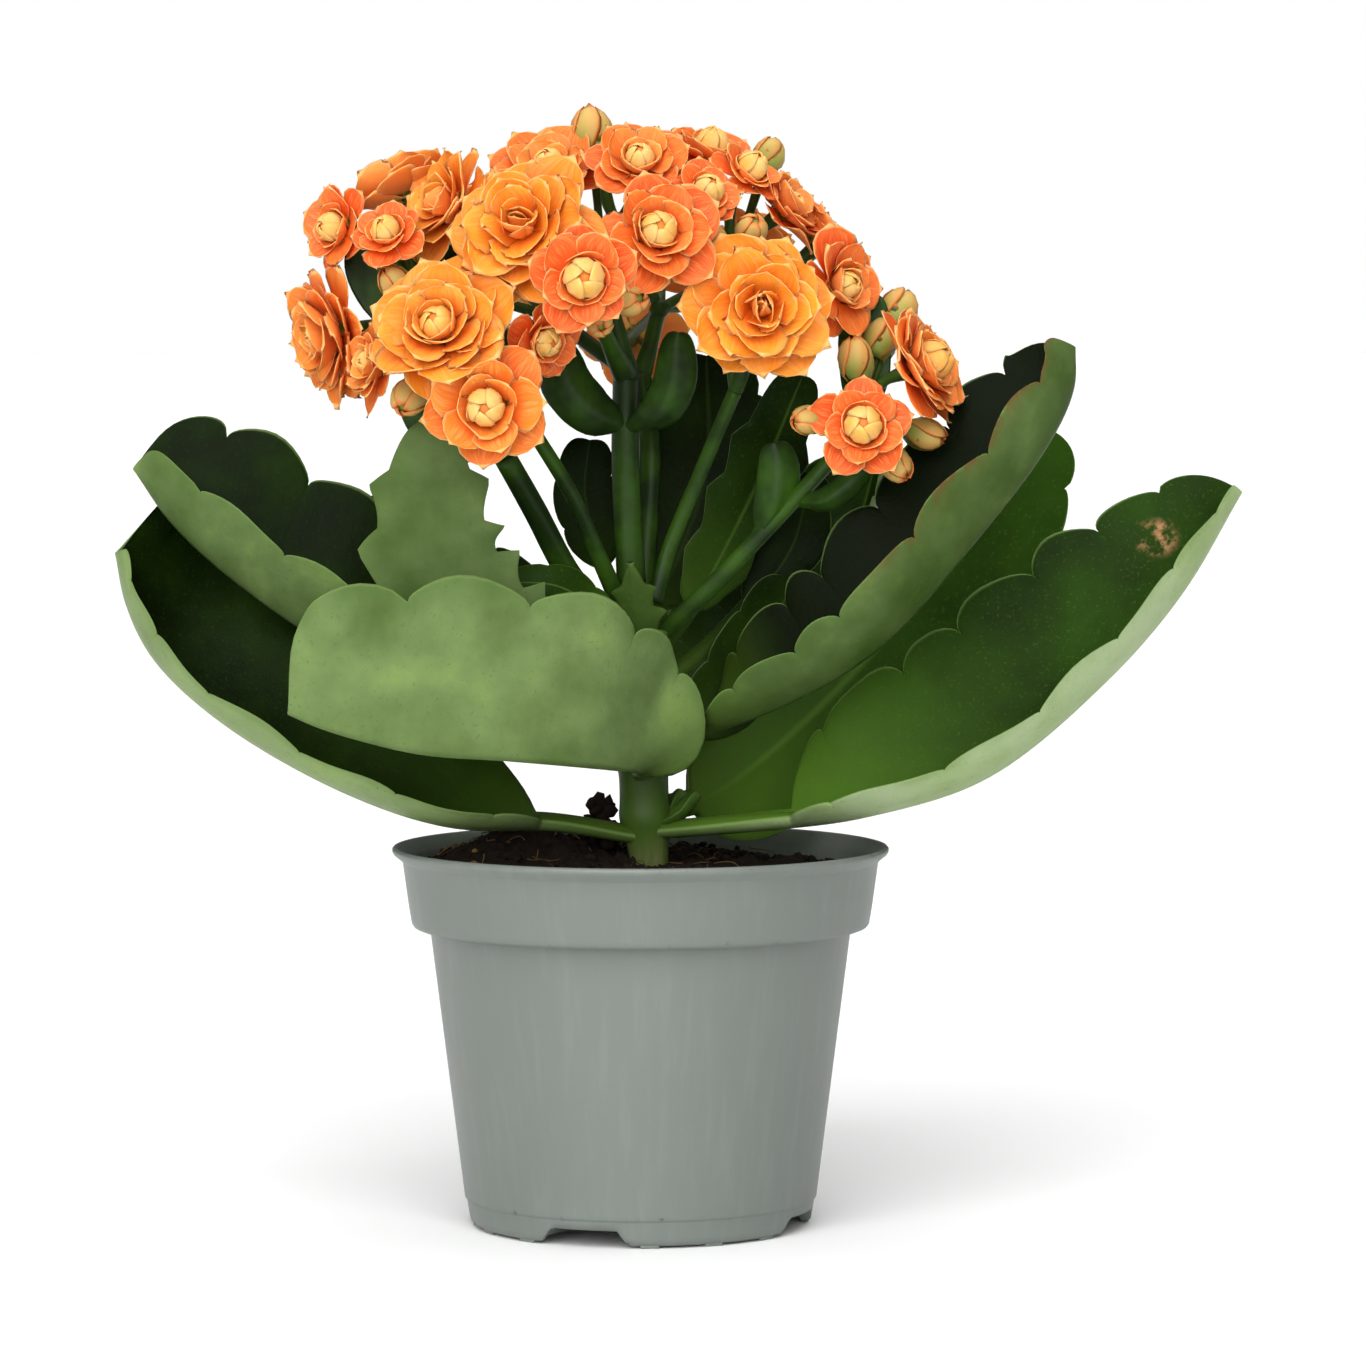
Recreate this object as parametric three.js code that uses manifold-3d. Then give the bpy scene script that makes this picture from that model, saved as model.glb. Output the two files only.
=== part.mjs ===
// A flowering potted kalanchoe: a double-flowered plant in a plain plastic nursery pot.
// Millimetres, +Z up. The origin is on the pot's axis, on the surface that the pot stands on.
// +X is to the right and +Y is away, seen from the side that shows the flowers best.
import * as THREE from 'three';
import { mergeVertices } from 'three/addons/utils/BufferGeometryUtils.js';
import Module from 'manifold-3d';

const wasm = await Module();
wasm.setup();

// Driving dimensions of the pot
const POT_HEIGHT = 80.5;
const RIM_RADIUS = 52.6;
const WALL = 1.0;
const BAND_TOP_RADIUS = 50.4;
const BAND_LOW_RADIUS = 48.6;
const BAND_LOW_Z = 64.2;
const WALL_TOP_RADIUS = 44.8;
const RIDGE_RADIUS = 37.4;
const RIDGE_Z = 6.0;
const BASE_RADIUS = 36.4;
const FLOOR_Z = 2.8;
const CENTRE_FOOT_RADIUS = 7;
const NUB_WIDTH = 4;
const NUB_DEPTH = 1.6;
const NUB_HEIGHT = 1;
const FOOT_STEPS = 16;
const NOTCH_WIDTH = 17;
const NOTCH_HEIGHT = 3.8;
const NOTCH_EVERY = 4;
const FIRST_NOTCH = -109;
const POT_SIDES = 28;
const NOTCH_SLANT = 1.2;
const NOTCH_INSET = 5.5;
const NOTCH_REACH = 9;
const FOOT_LIP = 0.5;

// Driving dimensions of the plant
const GAP = 0.3;
const STEM_RADIUS = 5.2;
const STEM_NECK_RADIUS = 3.4;
const STEM_TOP_Z = 136;
const LEAF_MID_THICK = 2.0;
const LEAF_EDGE_THICK = 0.9;
const PETIOLE_HALF_WIDTH = 3.0;
const PETIOLE_THICK = 4.0;
const PETAL_THICK = 0.7;
const FORK_RADII = [1.5, 1.3];
const PEDICEL_RADII = [0.9, 1.1, 1.9];
const PEDICEL_BEND = 0.5;
const BUD_STALK_RADII = [0.9, 0.8];

const DEG = Math.PI / 180;
const vec = (p) => new THREE.Vector3(p[0], p[1], p[2]);
const mix = (a, b, t) => a + (b - a) * t;
const clamp01 = (t) => Math.min(1, Math.max(0, t));
const smooth = (t) => clamp01(t) ** 2 * (3 - 2 * clamp01(t));

// Solids and geometries

function solidOf(geometry) {
  const bare = geometry.clone();
  bare.deleteAttribute('normal');
  bare.deleteAttribute('uv');
  const merged = mergeVertices(bare, 1e-5);
  const positions = new Float32Array(merged.attributes.position.array);
  const triangles = new Uint32Array(merged.index.array);
  return new wasm.Manifold(new wasm.Mesh({ numProp: 3, vertProperties: positions, triVerts: triangles }));
}

function geometryOf(solid) {
  const mesh = solid.getMesh();
  const geometry = new THREE.BufferGeometry();
  geometry.setAttribute('position', new THREE.Float32BufferAttribute(mesh.vertProperties, 3));
  geometry.setIndex(Array.from(mesh.triVerts));
  return geometry;
}

function closedGeometry(points, faces) {
  const geometry = new THREE.BufferGeometry();
  geometry.setAttribute('position', new THREE.Float32BufferAttribute(points.flat(), 3));
  geometry.setIndex(faces.flat());
  return geometry;
}

function joined(solids) {
  return solids.reduce((whole, next) => whole.add(next));
}

// A tube of round sections along a smooth line; radii run from its first point to its last
function tube(points, radii, sides, steps) {
  const curve = new THREE.CatmullRomCurve3(points.map(vec), false, 'centripetal');
  const frames = curve.computeFrenetFrames(steps, false);
  const ring = [];
  for (let i = 0; i <= steps; i += 1) {
    const centre = curve.getPointAt(i / steps);
    const along = (i / steps) * (radii.length - 1);
    const low = Math.min(Math.floor(along), radii.length - 2);
    const radius = mix(radii[low], radii[low + 1], along - low);
    for (let k = 0; k < sides; k += 1) {
      const angle = (k / sides) * 2 * Math.PI;
      const out = frames.normals[i].clone().multiplyScalar(Math.cos(angle));
      out.addScaledVector(frames.binormals[i], Math.sin(angle));
      ring.push(centre.clone().addScaledVector(out, radius).toArray());
    }
  }
  const faces = [];
  for (let i = 0; i < steps; i += 1) {
    for (let k = 0; k < sides; k += 1) {
      const next = (k + 1) % sides;
      const [a, b] = [i * sides + k, i * sides + next];
      faces.push([a, b, b + sides], [a, b + sides, a + sides]);
    }
  }
  const last = steps * sides;
  for (let k = 1; k < sides - 1; k += 1) {
    faces.push([0, k + 1, k], [last, last + k, last + k + 1]);
  }
  return closedGeometry(ring, faces);
}

// A turned body about a line from base along axis; profile is a list of [radius, height]
function turned(profile, base, axis, sides) {
  const points = profile.map(([radius, height]) => new THREE.Vector2(radius, height));
  const geometry = new THREE.LatheGeometry(points, sides);
  const turn = new THREE.Quaternion().setFromUnitVectors(new THREE.Vector3(0, 1, 0), vec(axis).normalize());
  geometry.applyQuaternion(turn);
  geometry.translate(base[0], base[1], base[2]);
  return solidOf(geometry);
}

// The pot

function pot() {
  const profile = [
    [0, 0], [CENTRE_FOOT_RADIUS, 0], [CENTRE_FOOT_RADIUS + 0.8, FLOOR_Z - 1.2],
    [BASE_RADIUS - 2.8, FLOOR_Z - 1.2], [BASE_RADIUS - 2.5, FOOT_LIP], [BASE_RADIUS - 0.7, FOOT_LIP],
    [BASE_RADIUS, 1.8], [RIDGE_RADIUS - 0.6, RIDGE_Z - 0.4], [RIDGE_RADIUS, RIDGE_Z + 0.2],
    [WALL_TOP_RADIUS, BAND_LOW_Z + 0.3], [BAND_LOW_RADIUS - 0.6, BAND_LOW_Z - 0.5],
    [BAND_LOW_RADIUS, BAND_LOW_Z + 0.4], [BAND_TOP_RADIUS, POT_HEIGHT - 3.2],
    [RIM_RADIUS, POT_HEIGHT - 1.0], [RIM_RADIUS - 0.5, POT_HEIGHT],
    [BAND_TOP_RADIUS - WALL, POT_HEIGHT - 3.0], [BAND_LOW_RADIUS - WALL, BAND_LOW_Z + 1.6],
    [WALL_TOP_RADIUS - WALL, BAND_LOW_Z + 1.0], [BASE_RADIUS - WALL, FLOOR_Z], [0, FLOOR_Z],
  ].map(([radius, z]) => new THREE.Vector2(radius, z));
  const shell = new THREE.LatheGeometry(profile, POT_SIDES);
  shell.rotateX(Math.PI / 2);
  let body = solidOf(shell);
  for (let i = 0; i < FOOT_STEPS; i += 1) {
    const angle = (FIRST_NOTCH + (i / FOOT_STEPS) * 360) * DEG;
    body = i % NOTCH_EVERY === 0 ? body.subtract(drainNotch(angle)) : body.add(footNub(angle));
  }
  return geometryOf(body);
}

function footNub(angle) {
  const nub = new THREE.BoxGeometry(NUB_WIDTH, NUB_DEPTH, NUB_HEIGHT);
  nub.translate(0, BASE_RADIUS - NUB_DEPTH, NUB_HEIGHT / 2);
  nub.rotateZ(angle - Math.PI / 2);
  return solidOf(nub);
}

// A slant-ended notch through the foot of the wall and the edge of the floor, for drainage
function drainNotch(angle) {
  const half = NOTCH_WIDTH / 2;
  const outline = new THREE.Shape([
    new THREE.Vector2(-half - NOTCH_SLANT, -1), new THREE.Vector2(half + NOTCH_SLANT, -1),
    new THREE.Vector2(half - NOTCH_SLANT, NOTCH_HEIGHT),
    new THREE.Vector2(-half + NOTCH_SLANT, NOTCH_HEIGHT),
  ]);
  const cutter = new THREE.ExtrudeGeometry(outline, { depth: NOTCH_REACH, bevelEnabled: false });
  const inner = BASE_RADIUS - NOTCH_INSET;
  cutter.rotateX(Math.PI / 2);
  cutter.rotateZ(Math.PI / 2 + angle);
  cutter.translate(inner * Math.cos(angle), inner * Math.sin(angle), 0);
  return solidOf(cutter);
}

// The soil, which fills the pot round the stem

const SOIL_LEVEL = 76.5;
const SOIL_MOUND = { x: -24, y: 6, height: 7, spread: 15 };
const SOIL_SLOPE = 0.05;
const BROAD_LUMP = 0.7;
const FINE_LUMP = 0.4;
const SOIL_INSET = 1.0;
const SOIL_STEP_TOP = 3.2;
const SOIL_STEP_FOOT = 1.9;
const SOIL_SIDES = 20;
const SOIL_RINGS = 4;

function soilHeight(x, y) {
  const away = ((x - SOIL_MOUND.x) ** 2 + (y - SOIL_MOUND.y) ** 2) / SOIL_MOUND.spread ** 2;
  const mound = SOIL_MOUND.height * Math.exp(-away);
  const slope = -SOIL_SLOPE * Math.max(0, x);
  const broad = BROAD_LUMP * Math.sin(0.31 * x + 1.3) * Math.cos(0.37 * y);
  const fine = FINE_LUMP * Math.sin(0.9 * x + 0.6 * y);
  return SOIL_LEVEL + mound + slope + broad + fine;
}

function soil() {
  const points = [];
  const faces = [];
  const topRadius = BAND_TOP_RADIUS - WALL - SOIL_INSET;
  for (let ring = 1; ring <= SOIL_RINGS; ring += 1) {
    for (let k = 0; k < SOIL_SIDES; k += 1) {
      const angle = (k / SOIL_SIDES) * 2 * Math.PI;
      const radius = (topRadius * ring) / SOIL_RINGS;
      const [x, y] = [radius * Math.cos(angle), radius * Math.sin(angle)];
      points.push([x, y, ring === SOIL_RINGS ? SOIL_LEVEL - 1 : soilHeight(x, y)]);
    }
  }
  const sides = [
    [BAND_LOW_RADIUS - WALL - SOIL_INSET, BAND_LOW_Z + SOIL_STEP_TOP],
    [WALL_TOP_RADIUS - WALL - SOIL_INSET, BAND_LOW_Z + SOIL_STEP_FOOT],
    [BASE_RADIUS - WALL - SOIL_INSET, FLOOR_Z + GAP],
  ];
  for (const [radius, z] of sides) {
    for (let k = 0; k < SOIL_SIDES; k += 1) {
      const angle = (k / SOIL_SIDES) * 2 * Math.PI;
      points.push([radius * Math.cos(angle), radius * Math.sin(angle), z]);
    }
  }
  const rings = SOIL_RINGS + sides.length;
  for (let ring = 0; ring < rings - 1; ring += 1) {
    for (let k = 0; k < SOIL_SIDES; k += 1) {
      const next = (k + 1) % SOIL_SIDES;
      const [a, b] = [ring * SOIL_SIDES + k, ring * SOIL_SIDES + next];
      faces.push([a, a + SOIL_SIDES, b + SOIL_SIDES], [a, b + SOIL_SIDES, b]);
    }
  }
  const top = points.push([0, 0, soilHeight(0, 0)]) - 1;
  const bottom = points.push([0, 0, FLOOR_Z + GAP]) - 1;
  const last = (rings - 1) * SOIL_SIDES;
  for (let k = 0; k < SOIL_SIDES; k += 1) {
    const next = (k + 1) % SOIL_SIDES;
    faces.push([top, k, next], [bottom, last + next, last + k]);
  }
  const body = solidOf(closedGeometry(points, faces));
  return geometryOf(body.subtract(stemSolid(GAP)));
}

// The main stem, from its foot in the soil to the fork of the flower stalks

const STEM_LINE = [
  [4, -2, 56], [2, -2, 76], [1, -2, 88], [0.5, -2, 102], [-1.5, -1, 120], [-2, 0, STEM_TOP_Z],
];
const STEM_SIDES = 8;
const STEM_STEPS = 10;
const STEM_RADII = [STEM_NECK_RADIUS, STEM_NECK_RADIUS, STEM_RADIUS, STEM_RADIUS, 4.6, 3.8];

function stemSolid(margin) {
  const radii = STEM_RADII.map((radius) => radius + margin);
  return solidOf(tube(STEM_LINE, radii, STEM_SIDES, STEM_STEPS));
}

// The leaves. A leaf follows its midrib, from the stem to its tip. Its plus half lies on the side
// that across points to, and face says which way its upper side looks. Each half is given as
// [width, first angle, last angle]: it leaves the midrib at the first angle and turns to the last
// one at its margin, both in degrees up from the blade's flat. The margins have round lobes with
// sharp notches between them, at the given shares of the blade's length. A hook over 1 leans the
// lobes to the tip. The lean moves a margin along the leaf, at its base and at its tip.

const UP = [0, 0, 1];
const EVEN_LEAN = [-0.2, 0.3];

const LEAVES = [
  { name: 'leaf_low_left', notches: [0.12, 0.3, 0.48, 0.65, 0.8, 0.93], petiole: 0.16, across: [0, 1, 0],
    plus: [37, 46, 76], minus: [18, 4, 30], lean: [-0.3, 0.3],
    rib: [[-1, -3, 83], [-18, -8, 86], [-40, -14, 87], [-61, -16, 94], [-87, -15, 110], [-102, -10, 128],
      [-107, -3, 148]] },
  { name: 'leaf_low_right', notches: [0.09, 0.29, 0.47, 0.64, 0.79, 0.92], petiole: 0.2, across: [0, 1, 0],
    plus: [35, 50, 78], minus: [17, 8, 40], lean: [-0.3, 0.2], tip: 0.5,
    rib: [[2, -3, 84], [23, -8, 86], [47, -12, 89], [72, -14, 97], [97, -12, 117], [113, -8, 135],
      [126, -2, 156]] },
  { name: 'leaf_front', notches: [0.1, 0.25, 0.46, 0.7, 0.9], petiole: 0.13, across: [0, 1, 0],
    plus: [20, 20, 40], minus: [36, 98, 84], lean: [-0.7, 0.7], depth: 0.12, tip: 0.3,
    rib: [[0, -5, 97], [0, -22, 99], [-10, -35, 101], [-27, -43, 103], [-44, -47, 104.5],
      [-57, -48, 107], [-66, -48, 112], [-71, -47, 120]] },
  { name: 'leaf_back', notches: [0.2, 0.4, 0.6, 0.8], petiole: 0.14, across: [1, 0, 0],
    plus: [25, 14, 45], minus: [25, 14, 45],
    rib: [[1, 4, 97], [2, 22, 95], [3, 42, 98], [5, 62, 110], [6, 78, 128]] },
  { name: 'leaf_mid_left', notches: [0.2, 0.42, 0.63, 0.84], petiole: 0.14, across: [0, 1, 0],
    plus: [31, 66, 84], minus: [17, 38, 62], lean: [-0.3, 0.3],
    rib: [[-2, 0, 112], [-20, 0, 112], [-44, -4, 115], [-64, -8, 124], [-81, -8, 135], [-97, -7, 149],
      [-106, -3, 161]] },
  { name: 'leaf_tall_right', notches: [0.1, 0.24, 0.34, 0.52, 0.7, 0.86], petiole: 0.1, across: [0, 1, 0],
    plus: [26, 62, 80], minus: [15, 30, 62], lean: [-0.3, 0.3], depth: 0.2,
    rib: [[3, -2, 106], [15, -8, 107], [35, -15, 115], [51, -19, 126], [67, -19, 144], [84, -16, 166],
      [90, -13, 177], [93, -10, 187]] },
  { name: 'leaf_wide_right', notches: [0.2, 0.4, 0.58, 0.76, 0.9], petiole: 0.08, across: [0.7, 0.45, -0.5],
    face: [0, -1, 0.3], plus: [22, 8, 20], minus: [26, 8, 20],
    rib: [[4, 2, 88], [14, 12, 90], [30, 22, 101], [54, 29, 125], [74, 33, 150], [86, 36, 169]] },
  { name: 'leaf_back_left', notches: [0.2, 0.4, 0.6, 0.8], petiole: 0.14, across: [0.7, 0.7, 0],
    plus: [24, 20, 60], minus: [24, 20, 60],
    rib: [[-1, 4, 117], [-12, 20, 113], [-36, 38, 116], [-54, 52, 132], [-62, 58, 150]] },
  { name: 'leaf_back_right', notches: [0.2, 0.4, 0.6, 0.8], petiole: 0.14, across: [-0.7, 0.7, 0],
    plus: [24, 25, 65], minus: [24, 25, 65],
    rib: [[2, 4, 109], [16, 22, 110], [32, 40, 120], [46, 54, 140], [52, 62, 158]] },
  { name: 'leaf_toothed_left', notches: [0.16, 0.32, 0.46, 0.59, 0.71, 0.83], petiole: 0.12,
    across: [-1, 0, -0.2], face: [0, 1, 0.3], plus: [14, 4, 12], minus: [13, 4, 14], depth: 0.28, hook: 1.8,
    rib: [[-3, -4, 118], [-14, -15, 119], [-28, -24, 126], [-38, -27, 143], [-42, -27, 157],
      [-44, -26, 171]] },
  { name: 'leaf_hidden_left', notches: [0.3, 0.6, 0.85], petiole: 0.3, across: [0.3, 0.3, 0.9],
    face: [0, -1, 0.2], plus: [13, 8, 14], minus: [13, 8, 14],
    rib: [[-4, 2, 120], [-22, 12, 129], [-44, 14, 137], [-64, 16, 148]] },
  { name: 'leaf_short_left', notches: [0.35, 0.7], petiole: 0.2, across: [0.3, 0.3, 1], face: [0, -1, 0.2],
    plus: [5, 4, 10], minus: [5, 4, 10],
    rib: [[-2, -4, 124], [-8, -12, 130], [-17, -16, 136], [-27, -17, 137]] },
  { name: 'leaf_short_front', notches: [0.3, 0.65], petiole: 0.2, across: [1, 0, 0], face: [0, 1, 0.4],
    plus: [6, 4, 12], minus: [6, 4, 12], depth: 0.25, hook: 1.7,
    rib: [[2, -4, 121], [4, -11, 125], [4, -14, 137]] },
  { name: 'leaf_behind_left', notches: [0.35, 0.7], petiole: 0.3, across: [1, 0, 0], face: [0, -1, 0.2],
    plus: [7, 5, 12], minus: [7, 5, 12],
    rib: [[-4, 1, 132], [-9, 12, 142], [-12, 16, 155], [-11, 17, 166]] },
  { name: 'leaf_behind', notches: [0.2, 0.4, 0.6, 0.8], petiole: 0.2, across: [1, 0, 0], face: [0, -1, 0.2],
    plus: [15, 6, 14], minus: [13, 6, 14], rib: [[-1, 4, 121], [6, 16, 136], [14, 21, 160], [14, 23, 184]] },
  { name: 'leaf_toothed_right', notches: [0.3, 0.52, 0.74], petiole: 0.2, across: [1, 0.2, -0.4],
    face: [0, -1, 0.3], plus: [9, 4, 14], minus: [10, 4, 14], depth: 0.24, hook: 1.5,
    rib: [[3, 1, 120], [12, 5, 133], [24, 3, 156], [34, -2, 180]] },
  { name: 'leaf_oval_right', notches: [0.4, 0.75], petiole: 0.45, across: [1, 0, 0], face: [0, -1, 0.2],
    plus: [7, 4, 14], minus: [7, 4, 14], rib: [[4, 2, 114], [18, 8, 126], [32, 10, 143], [36, 10, 159]] },
  { name: 'leaf_under_right', notches: [0.35, 0.7], petiole: 0.2, across: [0.6, 0.2, -0.6],
    face: [0, -1, 0.3], plus: [10, 4, 14], minus: [10, 4, 14],
    rib: [[4, 1, 98], [13, 4, 107], [24, 5, 120], [32, 5, 136]] },
];

const BASE_ROUND = 0.42;
const TIP_ROUND = 0.38;
const NOTCH_DEPTH = 0.13;
const TIP_HALF_WIDTH = 1.0;
const THINNEST_STALK = 0.45;
const FULL_STALK_WIDTH = 24;
const OPENING_LENGTH = 0.12;

// Small leaves have thinner stalks, in proportion to their width
const stalkShare = (leaf) => mix(THINNEST_STALK, 1, clamp01(leaf.plus[0] / FULL_STALK_WIDTH));

// How full a lobe is, from 0 in a notch to 1 on its crest; a lobe stands over the very tip
function crown(leaf, blade) {
  const bounds = [0, ...leaf.notches, 2 - leaf.notches[leaf.notches.length - 1]];
  const next = bounds.findIndex((bound) => bound > blade);
  const share = (blade - bounds[next - 1]) / (bounds[next] - bounds[next - 1]);
  return Math.abs(Math.sin(Math.PI * share ** (leaf.hook ?? 1))) ** 0.5;
}

function halfWidth(leaf, blade, width) {
  const tip = leaf.tip ?? TIP_ROUND;
  const widest = BASE_ROUND / (BASE_ROUND + tip);
  const fullest = widest ** BASE_ROUND * (1 - widest) ** tip;
  const outline = (blade ** BASE_ROUND * (1 - blade) ** tip) / fullest;
  const stalk = PETIOLE_HALF_WIDTH * stalkShare(leaf);
  return Math.max(width * outline, mix(stalk, TIP_HALF_WIDTH, smooth(blade * 2)));
}

// The point of a leaf at t along it and v across it, from -1 at the minus margin to 1 at the plus
// margin, on its upper side (side 1) or under side (side -1)
function leafPoint(leaf, curve, t, v, side) {
  const along = curve.getTangentAt(t);
  const across = vec(leaf.across);
  across.addScaledVector(along, -across.dot(along)).normalize();
  const up = new THREE.Vector3().crossVectors(along, across);
  if (up.dot(vec(leaf.face ?? UP)) < 0) up.negate();
  const hand = v >= 0 ? 1 : -1;
  const [width, first, last] = v >= 0 ? leaf.plus : leaf.minus;
  const open = smooth(t / (leaf.petiole + OPENING_LENGTH));
  const start = first * DEG * open;
  const turn = (last - first) * DEG * open + 1e-6;
  const blade = clamp01((t - leaf.petiole) / (1 - leaf.petiole));
  const cut = (leaf.depth ?? NOTCH_DEPTH) * (1 - crown(leaf, blade)) * smooth(blade * 8);
  const flat = Math.abs(v) * (1 - cut * Math.abs(v) ** 3);
  const angle = start + turn * flat;
  const reach = halfWidth(leaf, blade, width);
  const out = (reach / turn) * (Math.sin(angle) - Math.sin(start));
  const lift = (reach / turn) * (Math.cos(start) - Math.cos(angle));
  const [leanBase, leanTip] = leaf.lean ?? EVEN_LEAN;
  const point = curve.getPointAt(t);
  point.addScaledVector(across, hand * out).addScaledVector(up, lift);
  point.addScaledVector(along, reach * flat * mix(leanBase, leanTip, t) * open);
  const normal = up.clone();
  if (v !== 0) normal.multiplyScalar(Math.cos(angle)).addScaledVector(across, -hand * Math.sin(angle));
  const thin = smooth((t - leaf.petiole * 0.5) / (leaf.petiole + 0.1));
  const flesh = mix(PETIOLE_THICK * stalkShare(leaf), mix(LEAF_MID_THICK, LEAF_EDGE_THICK, v * v), thin);
  return point.addScaledVector(normal, (side * flesh) / 2).toArray();
}

const BROAD_COLUMNS = [-1, -0.5, 0, 0.5, 1];
const NARROW_COLUMNS = [-1, 0, 1];
const NARROW_LEAF = 16;
const BROAD_LOBE_ROWS = [0, 0.25, 0.75];
const NARROW_LOBE_ROWS = [0, 0.5];

// Shares of a leaf's length for its cross rows: in each notch and on each lobe
function leafRows(leaf, lobeRows) {
  const bounds = [0, ...leaf.notches, 1];
  const rows = [0, leaf.petiole * 0.5];
  for (let i = 0; i < bounds.length - 1; i += 1) {
    for (const share of lobeRows) rows.push(mix(leaf.petiole, 1, mix(bounds[i], bounds[i + 1], share)));
  }
  return [...rows, 1];
}

function leafSolid(leaf) {
  const curve = new THREE.CatmullRomCurve3(leaf.rib.map(vec), false, 'centripetal');
  const broad = leaf.plus[0] >= NARROW_LEAF;
  const stations = leafRows(leaf, broad ? BROAD_LOBE_ROWS : NARROW_LOBE_ROWS);
  const columns = broad ? BROAD_COLUMNS : NARROW_COLUMNS;
  const width = columns.length;
  const sheet = stations.length * width;
  const points = [];
  for (const side of [1, -1]) {
    for (const t of stations) {
      for (const v of columns) points.push(leafPoint(leaf, curve, t, v, side));
    }
  }
  const faces = [];
  for (let i = 0; i < stations.length - 1; i += 1) {
    for (let k = 0; k < width - 1; k += 1) {
      const a = i * width + k;
      const [b, c, d] = [a + 1, a + width, a + width + 1];
      faces.push([a, b, d], [a, d, c], [a + sheet, d + sheet, b + sheet], [a + sheet, c + sheet, d + sheet]);
    }
  }
  const rim = [];
  for (let k = 0; k < width; k += 1) rim.push(k);
  for (let i = 1; i < stations.length; i += 1) rim.push(i * width + width - 1);
  for (let k = width - 2; k >= 0; k -= 1) rim.push((stations.length - 1) * width + k);
  for (let i = stations.length - 2; i > 0; i -= 1) rim.push(i * width);
  for (let i = 0; i < rim.length; i += 1) {
    const [a, b] = [rim[i], rim[(i + 1) % rim.length]];
    faces.push([a, a + sheet, b + sheet], [a, b + sheet, b]);
  }
  return rightWayOut(closedGeometry(points, faces));
}

// The solid of a geometry, with its faces turned out if they all point in
function rightWayOut(geometry) {
  const solid = solidOf(geometry);
  if (solid.volume() > 0) return solid;
  const index = Array.from(geometry.index.array);
  for (let i = 0; i < index.length; i += 3) [index[i], index[i + 1]] = [index[i + 1], index[i]];
  geometry.setIndex(index);
  return solidOf(geometry);
}

// The blooms. Each has its heart at a place and looks along face. Whorls of petals stand round the
// heart, each steeper than the one below it. In a half-open bloom the heart is a ball of shut petals.

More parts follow.
